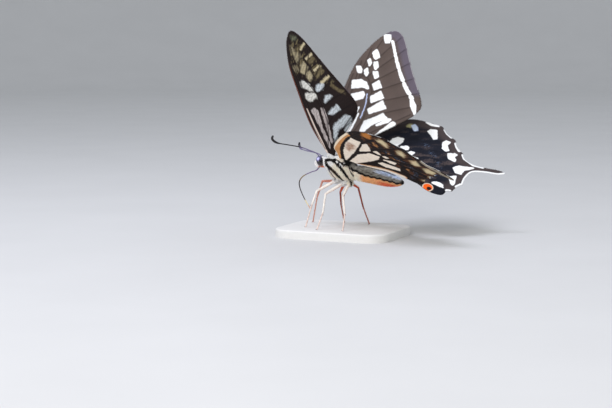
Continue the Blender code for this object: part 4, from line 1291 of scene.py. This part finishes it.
def body_colours(places):
    """Return the colours of skin and fur at body coordinates."""
    s, y, d = places.T
    y = np.abs(y)
    lateral = np.stack([s, d], axis=1) + 0.1 * noise(places, 0.5, 31)[:, None]
    back = fade(d, 1.2, 1.8) * (s < 5.0) * (s > -5.2)
    back_rear = fade(s, -1.4, -2.6) * fade(d, 0.5, 1.1) * (s > -5.2)
    colours = layered(mottled(FUR_CREAM, places, 0.06, 1.1, 32), [
        (fade(s + 0.5 * d, 0.6, 2.2), FUR_WHITE),
        (fade(d, -3.4, -4.3) * (s > -3.6), FUR_WHITE),
        (back * fade(y, 1.15, 0.75), FUR_BLACK),
        (back_rear * fade(y, 2.2, 1.6), FUR_BLACK),
    ])
    side_of_body = fade(y, 0.5, 1.0)
    taper = 0.55 + 0.45 * fade(d, -4.8, -1.5)
    for line, half_width in SIDE_STRIPES + [REAR_STRIPE, WING_BASE_PATCH]:
        colours = cover(colours, side_of_body * stripe(lateral, line, half_width * taper), FUR_BLACK)
    wing_root = fade(s, -1.5, -2.2) * fade(d, 0.35, 0.7) * (s > -5.6)
    second = side_of_body * stripe(lateral, *SIDE_STRIPES[1])
    third = side_of_body * stripe(lateral, *SIDE_STRIPES[2])
    dots = np.min([np.hypot(lateral[:, 0] - a, lateral[:, 1] - b) for a, b in WING_BASE_DOTS], axis=0)
    head = fade(s, 4.7, 5.1)
    colours = layered(colours, [
        (wing_root, FUR_BLACK),
        (0.5 * second * fade(s, -0.6, 0.4) * fade(s, 2.6, 1.6), FUR_BROWN),
        (0.6 * third, FUR_LILAC),
        (fade(dots, 0.3, 0.18) * fade(y, 1.6, 2.0), FUR_WHITE),
        (fade(s, 6.1, 6.5) * fade(d, 0.4, 0.8) * fade(y, 0.75, 0.5), FUR_BLACK),
        (head * fade(eye_oval(s, d), 1.08, 1.0) * fade(y, 0.7, 1.0), FUR_BLACK),
        (fade(s, 6.4, 6.1) * fade(s, 4.0, 4.4) * fade(d, 0.9, 1.2), FUR_WHITE),
        (stripe(lateral, *COLLAR) * fade(y, 0.3, 0.6), FUR_WHITE),
        (stripe(lateral, *EYE_PATCH) * (s < 6.7), FUR_ORANGE),
        (fade(s, 6.5, 6.9) * fade(d, 0.5, -0.1), FUR_WHITE),
    ])
    return abdomen_colours(colours, s, y, d, lateral)


def abdomen_colours(colours, s, y, d, lateral):
    """Lay the abdomen's speckled back with a painted blue sheen, black side line and orange underside over
    the body's colours.
    """
    line = smooth_line(ABDOMEN_LINE, 4)
    rise = d - np.interp(-s, -line[:, 0], line[:, 1])
    wave = 0.12 * np.sin((s - SEGMENT_FIRST) / SEGMENT_LENGTH * math.tau)
    fleck = noise(np.stack([s * 0.4, y, d], axis=1), 0.24, 33) + 0.5 * noise(lateral * (0.5, 1.0), 0.5, 35)
    # Painted sheen: a blue cast and pale bluish glints over the back of the rear abdomen
    painted_sheen = fade(s, -10.0, -15.0) * fade(rise, 0.9, 1.8)
    painted_glint = fade(fleck, 0.45, 0.8) * fade(s, -10.0, -14.0) * fade(rise, 0.6, 1.4)
    upper = cover(ABDOMEN_GREY, painted_sheen, ABDOMEN_PAINTED_SHEEN)
    upper = layered(upper * (0.72 + 0.5 * fade(fleck, -0.5, 0.7))[:, None], [
        (0.7 * painted_glint, BLUISH * 1.1),
        (0.6 * fade(fleck, -0.45, -0.8), FUR_BROWN),
        (0.85 * fade(y, 0.9, 0.4) * fade(d, 0.0, 0.6), FUR_BLACK),
    ])
    under = layered(ABDOMEN_TAN, [
        (fade(s, -8.6, -6.6), FUR_CREAM),
        (fade(s, -11.5, -15.5) * fade(rise, -0.5, -1.1), ABDOMEN_RED),
    ])
    thick = 0.34 - 0.08 * fade(s, -6.0, -12.0)
    abdomen = layered(under * (1.0 + 0.12 * noise(lateral, 0.45, 34))[:, None], [
        (fade(rise - wave, -0.05, 0.1), upper),
        (within(np.abs(rise - wave) - thick, 0.08) * fade(y, 0.5, 0.9), FUR_BLACK),
        (fade(s, -19.7, -20.3) * fade(d, -2.4, -1.8), FUR_BLACK),
    ])
    return cover(colours, fade(s - 1.5 * fade(d, -1.3, -0.2), -5.0, -5.7), abdomen)


def point_normals(points, triangles):
    """Return the outward direction at each point of a closed surface."""
    a, b, c = (points[triangles[:, k]] for k in range(3))
    across = np.cross(b - a, c - a)
    normals = np.zeros_like(points)
    for k in range(3):
        np.add.at(normals, triangles[:, k], across)
    return unit(normals)


def scattered(points, triangles, normals, density, rng):
    """Return random spots on a surface and their outward directions."""
    a, b, c = (points[triangles[:, k]] for k in range(3))
    areas = np.linalg.norm(np.cross(b - a, c - a), axis=1) / 2
    count = int(areas.sum() * density)
    picked = rng.choice(len(triangles), count, p=areas / areas.sum())
    share = rng.random((count, 2))
    flip = share.sum(axis=1) > 1
    share[flip] = 1 - share[flip]
    u, v = share[:, :1], share[:, 1:]
    spots = a[picked] + (b[picked] - a[picked]) * u + (c[picked] - a[picked]) * v
    na, nb, nc = (normals[triangles[picked, k]] for k in range(3))
    return spots, unit(na + (nb - na) * u + (nc - na) * v)


def unwrapped(places):
    """Return the place of body coordinates on the skin's own unwrap, along and round the body."""
    s, y, d = places.T
    _, top, bottom = section_values(np.clip(s, BODY_SECTIONS[-1][0], BODY_SECTIONS[0][0]))
    angle = np.arctan2(y, d - (top + bottom) / 2) / math.tau + 0.5
    along = (s - BODY_SECTIONS[-1][0]) / (SKIN_MAP_FRONT - BODY_SECTIONS[-1][0])
    return 0.01 + 0.98 * np.stack([np.clip(angle, 0, 1), np.clip(along, 0, 1)], axis=1)


def tuft_sizes(rng, count, length, width, lift):
    """Return random lengths, widths and lifts of tufts, each between two values."""
    return [rng.uniform(low, high, count) for low, high in (length, width, lift)]


def make_tufts(name, roots, lie, normals, sizes, colours, tips, spread):
    """Make thin curved three-sided tufts on a surface, each a small patch on the bake map."""
    lie = unit(lie - normals * np.sum(lie * normals, axis=1, keepdims=True))
    side = np.cross(lie, normals)
    lengths, widths, lift = (values[:, None] for values in sizes)
    start = roots - normals * TUFT_SUNK
    middle = roots + (lie * (1 - 0.35 * lift) * 0.55 + normals * lift * 0.5) * lengths
    end = roots + (lie * (1 - 0.25 * lift) + normals * lift * 0.72) * lengths
    corners = [
        start - side * widths / 2,
        start + side * widths / 2,
        start + normals * widths * 0.45,
        middle - side * widths * 0.42,
        middle + side * widths * 0.42,
        middle + normals * widths * 0.4,
        end,
    ]
    points = np.stack(corners, axis=1).reshape(-1, 3)
    pattern = np.array([
        (0, 1, 4), (0, 4, 3), (1, 2, 5), (1, 5, 4), (2, 0, 3), (2, 3, 5),
        (3, 4, 6), (4, 5, 6), (5, 3, 6), (0, 2, 1),
    ])
    faces = (pattern[None] + len(corners) * np.arange(len(roots))[:, None, None]).reshape(-1, 3)
    shades = np.array([0.0, 0.0, 0.0, 0.5, 0.5, 0.5, 1.0])[None, :, None]
    colour = (colours[:, None] * (1 - shades) + tips[:, None] * shades).reshape(-1, 3)
    obj = make_mesh(name, points, faces, colour)
    patch = np.array([(-1, -1), (1, -1), (0, -1), (-1, 0), (1, 0), (0, 0), (0, 1)]) * TUFT_PATCH
    add_bake_map(obj, (spread[:, None] + patch[None]).reshape(-1, 2))
    return obj


def body_lie(places):
    """Return the direction in which the fur lies at body coordinates."""
    s, y, d = places.T
    thorax = fade(s, -5.6, -4.6) * fade(s, 5.2, 4.4)
    down = 0.95 * fade(d, 1.9, 0.2) * thorax
    lie = -FORWARD * (1.0 - 0.25 * down)[:, None] - BACK * down[:, None] + LEFT * (0.12 * np.sign(y))[:, None]
    face = fade(s, 6.6, 7.1) * fade(d, 0.6, 0.1)
    up_face = FORWARD * 0.35 * fade(d, -0.6, -1.6)[:, None] + BACK
    return lie * (1 - face)[:, None] + up_face * face[:, None]


def off_eye(places):
    """Say which places are clear of the eyes."""
    s, y, d = places.T
    y = np.abs(y)
    return (eye_oval(s, d) > 1.03) | (y < 0.8)


def coat_growth(name, s, y, d):
    """Return how much the fur's length changes at places of one coat piece."""
    if name == "head_coat":
        return 1.0 - 0.5 * fade(s, 6.2, 7.0)
    if name == "thorax_coat":
        wing_base = fade(d, 0.4, 1.0) * fade(y, 1.4, 2.0) * fade(s, 4.2, 3.6)
        shoulder = fade(d, 0.8, 1.4) * fade(s, 0.5, 1.5)
        waist = fade(s, -3.8, -5.0) * fade(d, -1.0, -2.0)
        return (1.0 - 0.5 * np.maximum(wing_base, shoulder)) * (1.0 + 0.5 * waist)
    fuzz = fade(s, -8.5, -5.5) * fade(d, -0.8, -1.8)
    return (1.0 + 1.5 * fuzz) * (1.0 - 0.35 * fade(s, -17.0, -20.5))


def make_coat(points, triangles, normals, material):
    """Make the fur of the head, thorax and abdomen."""
    rng = np.random.default_rng(TUFT_SEED)
    for name, density, first, last, length, width, lift in COAT_REGIONS:
        roots, outward = scattered(points, triangles, normals, density, rng)
        places = body_places(roots)
        kept = (places[:, 0] <= first) & (places[:, 0] > last) & off_eye(places)
        roots, outward, places = roots[kept], outward[kept], places[kept]
        count = len(roots)
        sizes = tuft_sizes(rng, count, length, width, lift)
        sizes[0] *= coat_growth(name, places[:, 0], np.abs(places[:, 1]), places[:, 2])
        lie = body_lie(places) + COAT_SPRAY * rng.normal(size=(count, 3))
        colours = body_colours(places) * rng.uniform(0.9, 1.12, (count, 1))
        tips = colours * TIP_SHADE + 0.01
        tufts = make_tufts(name, roots, lie, outward, sizes, colours, tips, unwrapped(places))
        finish_piece(tufts, material, "body_fur")


def make_body(material, coat):
    """Make the one skin of head, palps, thorax and abdomen, and its coat."""
    points, triangles = remeshed(*skin_parts())
    colours = body_colours(body_places(points)) * SKIN_SHADE
    skin = make_mesh("body_skin", points, triangles, colours)
    finish_piece(skin, material, "body_fur", "head", "palp_left", "palp_right", "thorax", "abdomen")
    make_coat(points, triangles, point_normals(points, triangles), coat)


def make_eye(name, side, material):
    """Make one domed oval eye, black with a painted violet and lilac highlight at its upper front and a brown
    lower edge.
    """
    s0, d0 = EYE_CENTRE
    depth = EYE_OUTER_Y - EYE_INNER_Y
    places = []
    for row in range(EYE_RINGS):
        angle = math.radians(90.0) * row / EYE_RINGS
        size = math.cos(angle)
        for k in range(EYE_SIDES):
            turn = math.tau * k / EYE_SIDES
            short_way = EYE_RADIUS_SHORT * size * math.cos(turn)
            long_way = EYE_RADIUS_LONG * size * math.sin(turn)
            s = s0 + short_way * math.cos(EYE_TILT) + long_way * math.sin(EYE_TILT)
            d = d0 + long_way * math.cos(EYE_TILT) - short_way * math.sin(EYE_TILT)
            places.append((s, side * (EYE_INNER_Y + depth * math.sin(angle)), d))
    places.append((s0, side * EYE_INNER_Y, d0))
    places.append((s0, side * EYE_OUTER_Y, d0))
    places = np.array(places)
    height = (places[:, 2] - d0) / EYE_RADIUS_LONG
    forward = (places[:, 0] - s0) / EYE_RADIUS_LONG
    # Painted highlight: a violet patch with a lilac core at the eye's upper front stands in for a reflection
    highlight_away = np.hypot(forward - EYE_PAINTED_HIGHLIGHT_CENTRE[0], height - EYE_PAINTED_HIGHLIGHT_CENTRE[1])
    colours = layered(EYE_BLACK, [
        (fade(highlight_away, 0.6, 0.2), EYE_PAINTED_REFLECTION_VIOLET),
        (fade(highlight_away, 0.42, 0.08), EYE_PAINTED_HIGHLIGHT_LILAC),
        (fade(height, -0.35, -0.8), EYE_BROWN),
    ])
    faces = ring_faces(EYE_RINGS, EYE_SIDES)
    if side > 0:
        faces = faces[:, ::-1]
    obj = make_mesh(name + "_lens", body_points(places), faces, colours)
    finish_piece(obj, material, "eye", name)


def make_antenna(name, side, route, material):
    """Make one ringed feeler with its club."""
    places = [mirrored(ANTENNA_ROOT, side)] + route
    curve = even_line(smooth_line([body_points(p) for p in places], 12), ANTENNA_STEP)
    share = np.linspace(0.0, 1.0, len(curve))
    club = fade(share, CLUB_START, CLUB_START + CLUB_RISE)
    radii = ANTENNA_RADIUS + (CLUB_RADIUS - ANTENNA_RADIUS) * club
    radii += (ANTENNA_BASE_RADIUS - ANTENNA_RADIUS) * fade(share, 0.035, 0.02)
    radii *= 1.0 - 0.3 * fade(share, 0.95, 1.0) ** 2
    ring = np.abs(np.sin(share * ANTENNA_SEGMENTS * math.pi))
    radii = radii * (0.88 + 0.12 * fade(ring, 0.0, 0.45))
    points, faces, _ = tube_parts(curve, radii, TUBE_SIDES)
    shares = tube_values(share, TUBE_SIDES, [0.0, 1.0])
    rings = tube_values(ring, TUBE_SIDES, [1.0, 1.0])
    # Painted sheen: lilac on the left feeler's base and on the right feeler up to its club's tip
    sheen_share = fade(shares, 0.45, 0.3) if side > 0 else fade(shares, 0.97, 0.8)
    colours = cover(ANTENNA_BLACK, 0.8 * sheen_share, ANTENNA_PAINTED_SHEEN) * (0.6 + 0.4 * rings)[:, None]
    obj = make_mesh(name + "_ringed", points, faces, colours)
    finish_piece(obj, material, "antenna", name)


def make_proboscis(material):
    """Make the tongue as two ringed tubes side by side."""
    route = [body_points(p) for p in [PROBOSCIS_ROOT] + PROBOSCIS]
    curve = even_line(smooth_line(route, 10), PROBOSCIS_STEP)
    share = np.linspace(0.0, 1.0, len(curve))
    radii = PROBOSCIS_RADIUS + (PROBOSCIS_TIP_RADIUS - PROBOSCIS_RADIUS) * share
    ring = 0.5 + 0.5 * np.cos(share * PROBOSCIS_RINGS * math.tau)
    tubes = []
    for side in (1, -1):
        half = curve + LEFT * side * (radii * PROBOSCIS_SPREAD)[:, None]
        tubes.append(tube_parts(half, radii * (0.95 + 0.05 * ring), TUBE_SIDES)[:2])
    shares = tube_values(share, TUBE_SIDES, [0.0, 1.0])
    colours = layered(TONGUE_LILAC, [
        (fade(shares, 0.26, 0.34), TONGUE_OCHRE),
        (fade(shares, 0.4, 0.5), TONGUE_BLACK),
        (fade(shares, 0.81, 0.85), TONGUE_CREAM),
        (fade(shares, 0.92, 0.95), TONGUE_TAN),
    ])
    obj = make_mesh("proboscis_ringed", *joined(tubes), np.vstack([colours, colours]))
    finish_piece(obj, material, "proboscis", "proboscis")


def leg_route(name):
    """Return a leg's points from inside the thorax to the foot on the base."""
    hip, knee, ankle, foot = LEGS[name]
    hip_point = body_points(hip)
    knee_point = body_points(knee)
    ankle_point = body_points(ankle)
    foot_point = np.array([THORAX_POINT[0] + foot[0], THORAX_POINT[1] + foot[1], BASE_TOP + FOOT_HEIGHT])
    start = hip_point - unit(knee_point - hip_point) * 0.6
    return start, knee_point, ankle_point, foot_point


def leg_profile(start, knee, ankle, foot):
    """Return a leg's curve with its radii, and which of its three lengths each point is on."""
    curve = []
    radii = []
    part = []
    for number, (a, b) in enumerate(((start, knee), (knee, ankle), (ankle, foot))):
        steps = int(np.linalg.norm(b - a) / LEG_STEP)
        share = np.arange(steps) / steps
        if number == 0:
            swell = np.sin(math.pi * np.clip(share * 0.8 + 0.18, 0, 1)) ** 0.8
            radius = KNEE_RADIUS + (FEMUR_RADIUS - KNEE_RADIUS) * swell
        elif number == 1:
            radius = TIBIA_RADIUS - 0.05 * share + 0.05 * fade(share, 0.12, 0.0)
            radius = radius * (0.75 + 0.25 * fade(share, 0.0, 0.06))
        else:
            joints = np.abs(np.sin(share * TARSUS_SEGMENTS * math.pi))
            radius = TARSUS_RADIUS * (0.72 + 0.28 * fade(joints, 0.0, 0.5))
        curve.append(a + (b - a) * share[:, None])
        radii.append(radius)
        part.append(np.full(steps, number))
    curve.append(foot[None])
    radii.append(np.array([TARSUS_RADIUS]))
    part.append(np.array([2]))
    return np.vstack(curve), np.concatenate(radii), np.concatenate(part)


def spine_parts(root, direction, length, radius):
    """Return the points and triangles of one thin curved spine."""
    curve = np.array([root, root + direction * length * 0.5, root + direction * length])
    return tube_parts(curve, [radius, radius * 0.7, radius * 0.15], SPINE_SIDES)[:2]


def leg_colours(name, points, outward, part, side):
    """Return a leg's colours: cream on its outer side, red to brown on its inner side, and a painted red
    shade line underneath.
    """
    facing = outward @ (LEFT * side) + 0.25 * outward[:, 2]
    inner = cover(LEG_RED, 0.7 * fade(part, 0.5, 1.0), LEG_BROWN)
    if "front" in name:
        inner = inner + (LEG_PINK - inner) * FRONT_LEG_PINK
    # Painted shade: red along the downward faces of the femur, fading out on the tibia
    painted_shade_below = fade(outward[:, 2], -0.55, -0.85) * fade(part, 1.2, 0.6)
    colours = layered(inner, [
        (fade(facing, -0.3, 0.15), LEG_CREAM),
        (0.6 * painted_shade_below, LEG_RED),
        (0.3 * fade(part, 1.5, 2.0), LEG_PINK),
    ])
    return colours * (1.0 + 0.1 * noise(points, 0.4, 41))[:, None]


def leg_hairs(name, curve, radii, part, side, material):
    """Make the short hairs that lie along a leg."""
    rng = np.random.default_rng(TUFT_SEED + len(name))
    rows = len(curve)
    picked = rng.integers(3, rows - 3, LEG_HAIRS)
    along = unit(np.gradient(curve, axis=0))[picked]
    spokes = unit(np.cross(along, rng.normal(size=(LEG_HAIRS, 3))))
    roots = curve[picked] + spokes * radii[picked][:, None] * 0.9
    colours = leg_colours(name, roots, spokes, part[picked].astype(float), side)
    sizes = tuft_sizes(rng, LEG_HAIRS, *LEG_HAIR_SIZES)
    sizes[0] *= 1.0 + 0.5 * (part[picked] == 0)
    turn = np.arctan2(spokes @ np.cross(along[0], LEFT), spokes @ LEFT) / math.tau + 0.5
    spread = 0.02 + 0.96 * np.stack([turn, picked / rows], axis=1)
    lie = along + LEG_HAIR_SPRAY * rng.normal(size=along.shape)
    tufts = make_tufts(name + "_hairs", roots, lie, spokes, sizes, colours, colours, spread)
    finish_piece(tufts, material, "leg")


def leg_spines(knee, ankle, foot, side):
    """Return a leg's seven spines, two spurs and two claws, each as points and triangles."""
    along = unit(ankle - knee)
    outer = unit(LEFT * side - along * (LEFT * side @ along))
    forward = np.cross(along, outer)
    spines = []
    for k in range(LEG_SPINES):
        place = knee + (ankle - knee) * (0.3 + 0.1 * k)
        turn = 1 if k % 2 else -1
        spines.append(spine_parts(place, unit(along + forward * 0.55 * turn), SPINE_LENGTH, SPINE_RADIUS))
    for turn in (1, -1):
        spur = unit(along + forward * 0.5 * turn + outer * 0.2)
        spines.append(spine_parts(ankle, spur, SPUR_LENGTH, CLAW_RADIUS))
        toe = unit(FORWARD * 0.9 + LEFT * 0.5 * turn)
        claw = unit(toe - np.array([0.0, 0.0, 0.1]))
        spines.append(spine_parts(foot, claw, CLAW_LENGTH, CLAW_RADIUS))
    return spines


def make_leg(name, material, coat):
    """Make one leg with its spines, spurs, claws and hairs."""
    side = 1 if name.endswith("left") else -1
    start, knee, ankle, foot = leg_route(name)
    curve, radii, part = leg_profile(start, knee, ankle, foot)
    tube, tube_faces, outward = tube_parts(curve, radii, LEG_SIDES)
    points, faces = joined([(tube, tube_faces)] + leg_spines(knee, ankle, foot, side))
    tube_part = tube_values(part, LEG_SIDES, [0, 2]).astype(float)
    colours = leg_colours(name, tube, outward, tube_part, side)
    spine_colours = np.tile(LEG_BROWN, (len(points) - len(tube), 1))
    obj = make_mesh(name + "_scaled", points, faces, np.vstack([colours, spine_colours]))
    finish_piece(obj, material, "leg", name)
    leg_hairs(name, curve, radii, part, side, coat)


def make_base(material):
    """Make the plain rounded base with softly worn edges."""
    low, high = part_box("stand_base")
    low = np.array(low) / MM
    high = np.array(high) / MM
    centre = (low + high) / 2
    half = (high - low) / 2 - BASE_CORNER_RADIUS
    outline = []
    for quarter, (along, across) in enumerate(((1, 1), (-1, 1), (-1, -1), (1, -1))):
        for k in range(BASE_CORNER_STEPS + 1):
            angle = math.radians(90.0) * (quarter + k / BASE_CORNER_STEPS)
            direction = np.array([math.cos(angle), math.sin(angle)])
            corner = centre[:2] + half[:2] * (along, across)
            outline.append((corner, direction))
    levels = [(0.0, 0.0)]
    for k in range(BASE_BEVEL_STEPS + 1):
        angle = math.radians(90.0) * k / BASE_BEVEL_STEPS
        inset = BASE_BEVEL * (1 - math.cos(angle))
        levels.append((inset, high[2] - BASE_BEVEL * (1 - math.sin(angle))))
    points = []
    for inset, z in levels:
        for corner, direction in outline:
            spot = corner + direction * (BASE_CORNER_RADIUS - inset)
            points.append((spot[0], spot[1], z))
    points.append((centre[0], centre[1], 0.0))
    points.append((centre[0], centre[1], high[2]))
    obj = make_mesh("stand_base_plain", np.array(points), ring_faces(len(levels), len(outline)))
    obj.data.set_sharp_from_angle(angle=math.radians(50.0))
    finish_piece(obj, material, "stand", "stand_base")


def plain_material(name, colour, roughness, grain_size, grain_height):
    """Make a plain matt material with a fine grain."""
    material = bpy.data.materials.new(name)
    material.use_nodes = True
    nodes = material.node_tree.nodes
    links = material.node_tree.links
    shader = set_inputs(nodes["Principled BSDF"], {"Roughness": roughness})
    place = nodes.new("ShaderNodeTexCoord")
    grain = set_inputs(nodes.new("ShaderNodeTexNoise"), {"Scale": 1.0 / (grain_size * MM), "Detail": 4.0})
    ramp = nodes.new("ShaderNodeValToRGB")
    ramp.color_ramp.elements[0].color = (*(colour * 0.95), 1.0)
    ramp.color_ramp.elements[1].color = (*np.minimum(colour * 1.03, 1.0), 1.0)
    bump = set_inputs(nodes.new("ShaderNodeBump"), {"Strength": 0.3, "Distance": grain_height * MM})
    links.new(place.outputs["Object"], grain.inputs["Vector"])
    links.new(grain.outputs["Fac"], ramp.inputs["Fac"])
    links.new(ramp.outputs["Color"], shader.inputs["Base Color"])
    links.new(grain.outputs["Fac"], bump.inputs["Height"])
    links.new(bump.outputs["Normal"], shader.inputs["Normal"])
    return material


def floor_material():
    """Make the pale matt paint of the studio floor."""
    return plain_material("floor_paint", srgb(206, 206, 204), 0.9, 40.0, 0.0)


def stand_material():
    """Make the pale matt paint of the base."""
    return plain_material("stand_paint", srgb(226, 225, 221), 0.55, 0.8, 0.02)


def make_camera():
    """Place the camera at the photo's viewing angle."""
    sin_a, cos_a = math.sin(CAMERA_AZIMUTH), math.cos(CAMERA_AZIMUTH)
    sin_e, cos_e = math.sin(CAMERA_ELEVATION), math.cos(CAMERA_ELEVATION)
    right = np.array([cos_a, sin_a, 0.0])
    away = np.array([sin_a * cos_e, -cos_a * cos_e, sin_e])
    up = np.cross(away, right)
    target = THORAX_POINT + right * CAMERA_TARGET_RIGHT + up * CAMERA_TARGET_UP
    data = bpy.data.cameras.new("camera")
    data.lens = CAMERA_FOCAL_LENGTH
    data.sensor_width = CAMERA_SENSOR_WIDTH
    data.clip_start, data.clip_end = CAMERA_CLIP
    camera = bpy.data.objects.new("camera", data)
    camera.location = Vector((target + away * CAMERA_DISTANCE) * MM)
    camera.rotation_euler = Vector(away).to_track_quat("Z", "Y").to_euler()
    bpy.context.scene.collection.objects.link(camera)
    bpy.context.scene.camera = camera


def make_light(name, place, size, power, colour):
    """Place a soft square light that faces the model, its place given in metres from the thorax."""
    data = bpy.data.lights.new(name, "AREA")
    data.size = size
    data.energy = power
    data.color = colour
    light = bpy.data.objects.new(name, data)
    light.location = Vector(THORAX_POINT * MM) + Vector(place)
    light.rotation_euler = Vector(place).to_track_quat("Z", "Y").to_euler()
    bpy.context.scene.collection.objects.link(light)


def make_floor():
    """Make a pale round floor that curves up far behind the model."""
    radii = [0.0, STAGE_RADIUS]
    heights = [0.0, 0.0]
    for k in range(1, STAGE_STEPS + 1):
        angle = math.radians(90.0) * k / STAGE_STEPS
        radii.append(STAGE_RADIUS + STAGE_CURVE * math.sin(angle))
        heights.append(STAGE_CURVE * (1 - math.cos(angle)))
    radii.append(STAGE_RADIUS + STAGE_CURVE)
    heights.append(STAGE_CURVE + STAGE_WALL)
    points = [(0.0, 0.0, 0.0)]
    for radius, height in zip(radii[1:], heights[1:]):
        for k in range(STAGE_SIDES):
            angle = math.tau * k / STAGE_SIDES
            points.append((radius * math.cos(angle), radius * math.sin(angle), height))
    faces = [(0, 1 + k, 1 + (k + 1) % STAGE_SIDES) for k in range(STAGE_SIDES)]
    for row in range(len(radii) - 2):
        a = 1 + row * STAGE_SIDES
        for k in range(STAGE_SIDES):
            j = (k + 1) % STAGE_SIDES
            faces.append((a + k, a + STAGE_SIDES + k, a + STAGE_SIDES + j))
            faces.append((a + k, a + STAGE_SIDES + j, a + j))
    floor = make_mesh("floor", np.array(points) / MM, faces)
    floor.data.materials.append(floor_material())


def make_lights():
    """Make the soft light of the world and three lamps."""
    world = bpy.data.worlds.new("studio")
    world.use_nodes = True
    set_inputs(world.node_tree.nodes["Background"], {"Color": WORLD_COLOUR, "Strength": WORLD_STRENGTH})
    bpy.context.scene.world = world
    for name, place, size, power, colour in LAMPS:
        make_light(name, place, size, power, colour)


def main():
    """Build the scene around the model's frame."""
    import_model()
    bpy.context.scene.view_settings.view_transform = "Standard"
    make_camera()
    make_floor()
    make_lights()
    wing = wing_material()
    coat = coat_material()
    for name in WING_POSE:
        if name.startswith("forewing"):
            make_wing(name, FOREWING_OUTLINE, FOREWING_VEINS, forewing_upper, forewing_under, wing)
        else:
            outline = HINDWING_FRONT + HINDWING_REARS[name]
            make_wing(name, outline, HINDWING_VEINS, hindwing_upper, hindwing_under, wing)
    make_body(skin_material(), coat)
    eye = eye_material()
    make_eye("eye_left", 1, eye)
    make_eye("eye_right", -1, eye)
    antenna = antenna_material()
    make_antenna("antenna_left", 1, ANTENNA_LEFT, antenna)
    make_antenna("antenna_right", -1, ANTENNA_RIGHT, antenna)
    make_proboscis(tongue_material())
    leg = leg_material()
    for name in LEGS:
        make_leg(name, leg, coat)
    make_base(stand_material())


main()
